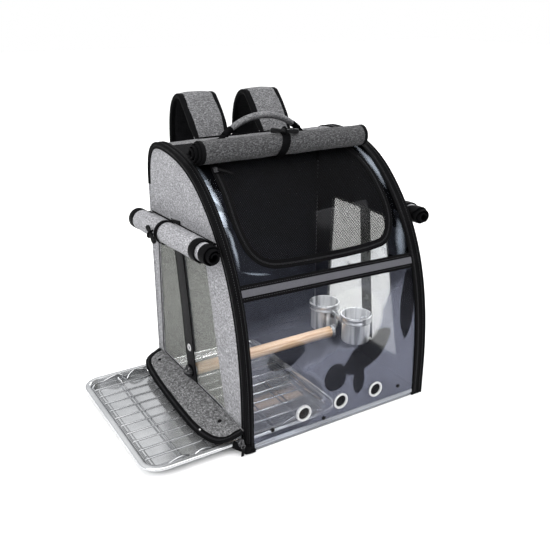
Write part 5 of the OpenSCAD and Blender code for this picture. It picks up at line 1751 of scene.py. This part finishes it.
# ------------------------------------------------------------------
# handle
# ------------------------------------------------------------------
def handle():
    hy, hz, hr, hx = 80.0, 425.0, 6.0, 70.0
    hs = 458 - hr - hz
    R = (hx * hx + hs * hs) / (2 * hs)
    ha = math.degrees(math.asin(hx / R))

    def arc(a0, a1, n):
        a = np.radians(np.linspace(a0, a1, n))
        return np.stack([R * np.cos(a), np.full(n, hy), hz + hs - R + R * np.sin(a)], -1)
    n = 90
    P = arc(90 - ha + 5.5, 90 + ha - 5.5, n)
    u = np.linspace(0, 1, n)
    sc = 0.80 + 0.28 * np.sin(np.pi * u) ** 0.5
    up = P - np.array([0, hy, hz + hs - R])
    up /= np.linalg.norm(up, axis=1)[:, None]
    a = np.linspace(0, 2 * math.pi, 26, endpoint=False)
    sec = np.stack([6.6 * np.cos(a) * (1 + 0.05 * np.cos(2 * a)), 5.2 * np.sin(a)], -1)
    ob = sweep("handle_grip", P, sec, M["grey_mid"], up=up, scale=sc)
    put(ob, "handle", "carry_handle", slot="grey_fabric")
    Q = P - up * (5.0 * sc)[:, None]
    put(dashes("handle_stitch", Q, -up, M["stitch"]), "handle")
    parts = []
    for a0, a1 in ((90 - ha, 90 - ha + 8.5), (90 + ha - 8.5, 90 + ha)):
        P = arc(a0, a1, 16)
        up = P - np.array([0, hy, hz + hs - R])
        up /= np.linalg.norm(up, axis=1)[:, None]
        parts.append(sweep("s", P, box_sec(13.0, 9.6, 3.6, 4), M["black_web"], up=up))
    put(join("handle_end_sleeves", parts), "handle", "handle_sleeves", slot="black_fabric")
    parts = []
    for s_ in (-1, 1):
        P = np.array([(s_ * 68.5, hy, 427.5), (s_ * 73.0, hy, 424.0), (s_ * 76.0, hy, 420.2), (s_ * 82.0, hy, 418.3), (s_ * 92.0, hy, 418.0)])
        parts.append(sweep("a", spline(P, 6, closed=False), box_sec(17.0, 1.8, 0.7, 2), M["black_web"], up=(0.2 * s_, 0, 1)))
    put(join("handle_tabs", parts), B, "handle_anchors", slot="black_fabric")
    for s_ in (-1, 1):
        c = np.array([(s_ * 80.0, hy - 6.5), (s_ * 91.0, hy - 6.5), (s_ * 91.0, hy + 6.5), (s_ * 80.0, hy + 6.5)])
        lp = resample(c, 2.4)
        P = np.stack([lp[:, 0], lp[:, 1], np.full(len(lp), 419.0)], -1)
        put(dashes(f"handle_tab_stitch_{'l' if s_ < 0 else 'r'}", P, (0, 0, 1), M["stitch"], closed=True), B)


# ------------------------------------------------------------------
# shoulder straps
# ------------------------------------------------------------------
S1 = [[140, 411.5], [154, 433], [168, 454], [190, 474]]
S2 = [[190, 474], [206, 481], [243, 472], [242, 360]]
S3 = [[242, 360], [236, 280], [214, 210], [190, 152]]


def straps():
    t = np.linspace(0, 1, 26)
    line = np.vstack([bez(S1, t), bez(S2, t)[1:], bez(S3, t)[1:]])
    tt = np.gradient(line, axis=0)
    tt /= np.linalg.norm(tt, axis=1)[:, None]
    out_n = np.stack([-tt[:, 1], tt[:, 0]], -1)     # outer side of the loop
    n = len(line)
    s = np.concatenate([[0], np.cumsum(np.linalg.norm(np.diff(line, axis=0), axis=1))])
    u = s / s[-1]
    for tag, xc in (("left", -63.0), ("right", 63.0)):
        wid = np.interp(u, [0, 0.05, 0.3, 0.6, 0.9, 1.0], [66, 68, 68, 60, 60, 48]) / 2
        thk = np.interp(u, [0, 0.06, 0.9, 1.0], [5.5, 12, 12, 5.0])
        m = 24
        a = np.linspace(-1, 1, m)
        crown = np.clip(1 - np.abs(a) ** 3.2, 0, 1) ** 0.7
        V = []
        uv = []
        for k in range(n):
            h = 1.4 + (thk[k] / 2 - 1.4) * crown
            x = xc + a * (wid[k] - 1.2)
            wv = smooth_noise(np.stack([x, np.full(m, s[k])], -1), 60, 91 + (xc > 0)) * 0.5
            for sg in (1, -1):
                V.append(np.stack([x, line[k, 0] + out_n[k, 0] * (sg * h + wv), line[k, 1] + out_n[k, 1] * (sg * h + wv)], -1))
            uv.append(np.stack([x, np.full(m, s[k])], -1))
        V = np.array(V).reshape(n, 2, m, 3)
        O, I = V[:, 0].reshape(-1, 3), V[:, 1].reshape(-1, 3)
        ob = shell(f"{tag}_shoulder_pad", O, I, [list(q) for q in grid_faces(n, m)], [M["grey_mid"], M["pad_mesh"]], uv=np.array(uv).reshape(-1, 2))
        put(ob, B, f"{tag}_strap_pad", slot="grey_fabric")
        for e in (-1, 1):
            x = xc + e * (wid - 5.4)
            P = np.stack([x, line[:, 0], line[:, 1]], -1)
            up = np.stack([np.zeros(n), out_n[:, 0], out_n[:, 1]], -1)
            bo = sweep(f"{tag}_pad_binding_{'a' if e < 0 else 'b'}", P, box_sec(12.4, 8.6, 3.2, 5), M["black_tape"], up=up, scale=np.interp(u, [0, 0.06, 0.9, 1.0], [0.62, 1, 1, 0.6]))
            sharpen(bo, 60)
            put(bo, B, slot="black_fabric")
        # sewn end patches and the webbing loop into the adjuster
        P3 = np.array([(190.5, 157), (188.4, 150.5), (186.9, 145.6), (186.0, 141.5), (184.6, 139.4)])
        sp = spline(np.stack([np.full(5, xc), P3[:, 0], P3[:, 1]], -1), 5, closed=False)
        put(sweep(f"{tag}_pad_end_loop", sp, box_sec(25, 2.2, 0.8, 2), M["black_web"], up=(0, 1, 0.3)), B)
        LW = np.array([(187.5, 148), (185.2, 141), (183.6, 136.6), (178.5, 104), (171.3, 70.2), (164.5, 46), (162.2, 36), (161.6, 30)])
        lw = spline(np.stack([np.full(8, xc), LW[:, 0], LW[:, 1]], -1), 8, closed=False)
        put(sweep(f"{tag}_lower_web", lw, box_sec(25, 1.7, 0.6, 2), M["web_twill"], up=(0, 1, 0.25)), B, f"{tag}_strap_webbing", slot="black_fabric")
        # loose tail of the webbing hanging from the adjuster
        TL = np.array([(189.8, 147.5), (191.6, 140), (191.0, 124), (187.6, 104), (184.0, 88)])
        tl = spline(np.stack([np.full(5, xc), TL[:, 0], TL[:, 1]], -1), 7, closed=False)
        put(sweep(f"{tag}_web_tail", tl, box_sec(25, 1.5, 0.6, 2), M["web_twill"], up=(0, 1, 0.2)), B)
        # tri-glide: frame with a middle bar
        parts = []
        ca, sa = math.cos(math.radians(-22)), math.sin(math.radians(-22))

        def R(x, y, z):
            return (xc + x, 186.4 + y * ca - z * sa, 143.4 + y * sa + z * ca)
        for z in (-4.6, 0.0, 4.6):
            parts.append(sweep("t", [R(x, 0, z) for x in np.linspace(-15.5, 15.5, 8)], box_sec(2.4, 3.6, 1.0, 3), M["plastic"], up=(0, ca, sa)))
        for x in (-15.6, 15.6):
            parts.append(sweep("t", [R(x, 0, z) for z in np.linspace(-5.6, 5.6, 6)], box_sec(2.6, 3.8, 1.1, 3), M["plastic"], up=(0, ca, sa)))
        put(join(f"{tag}_tri_glide", parts), B, *(["strap_adjusters"] if tag == "left" else []), slot="black_plastic")
    # sewn patch under the strap tops
    x = np.linspace(-96, 96, 50)
    P = np.stack([x, np.full(50, 133.0), np.full(50, 416.2)], -1)
    sw = s_at_y(133.0)
    c = on_front(x, np.full(50, sw), 1.3)
    n2 = pnor(np.full(50, sw))
    put(sweep("strap_root_tape", c, box_sec(12.0, 2.0, 0.8, 2), M["black_web"], up=np.stack([np.zeros(50), n2[:, 0], n2[:, 1]], -1)), B)


# ------------------------------------------------------------------
# build everything
# ------------------------------------------------------------------
for tag, sx, yb, slotted, seed in (("left", -1, 139.0, True, 3), ("right", 1, 112.0, False, 5)):
    side_panel(tag, sx, yb, slotted, seed)
    window_film(tag, sx, yb, seed + 20)
zip_band("left", -1, 13.0, True)
zip_band("right", 1, 21.0, False)
clear_sheets()
stripe()
mesh_door()
vents()
cover_rolls()
webbing()
perch()
cups()
tray_piece()
rack()
flap()
door_zip()
top_and_back()
handle()
straps()

CAD_LOOK = {"base_board": "lining", "left_hoop": "black_cloth", "right_hoop": "black_cloth", "perch_bolt": "steel", "perch_washer": "steel"}
hidden = set()
for name, ob in nodes.items():
    key = CAD_LOOK.get(name, "black_cloth")
    for sl in range(max(1, len(ob.data.materials))):
        if sl < len(ob.data.materials):
            ob.data.materials[sl] = M[key]
        else:
            ob.data.materials.append(M[key])
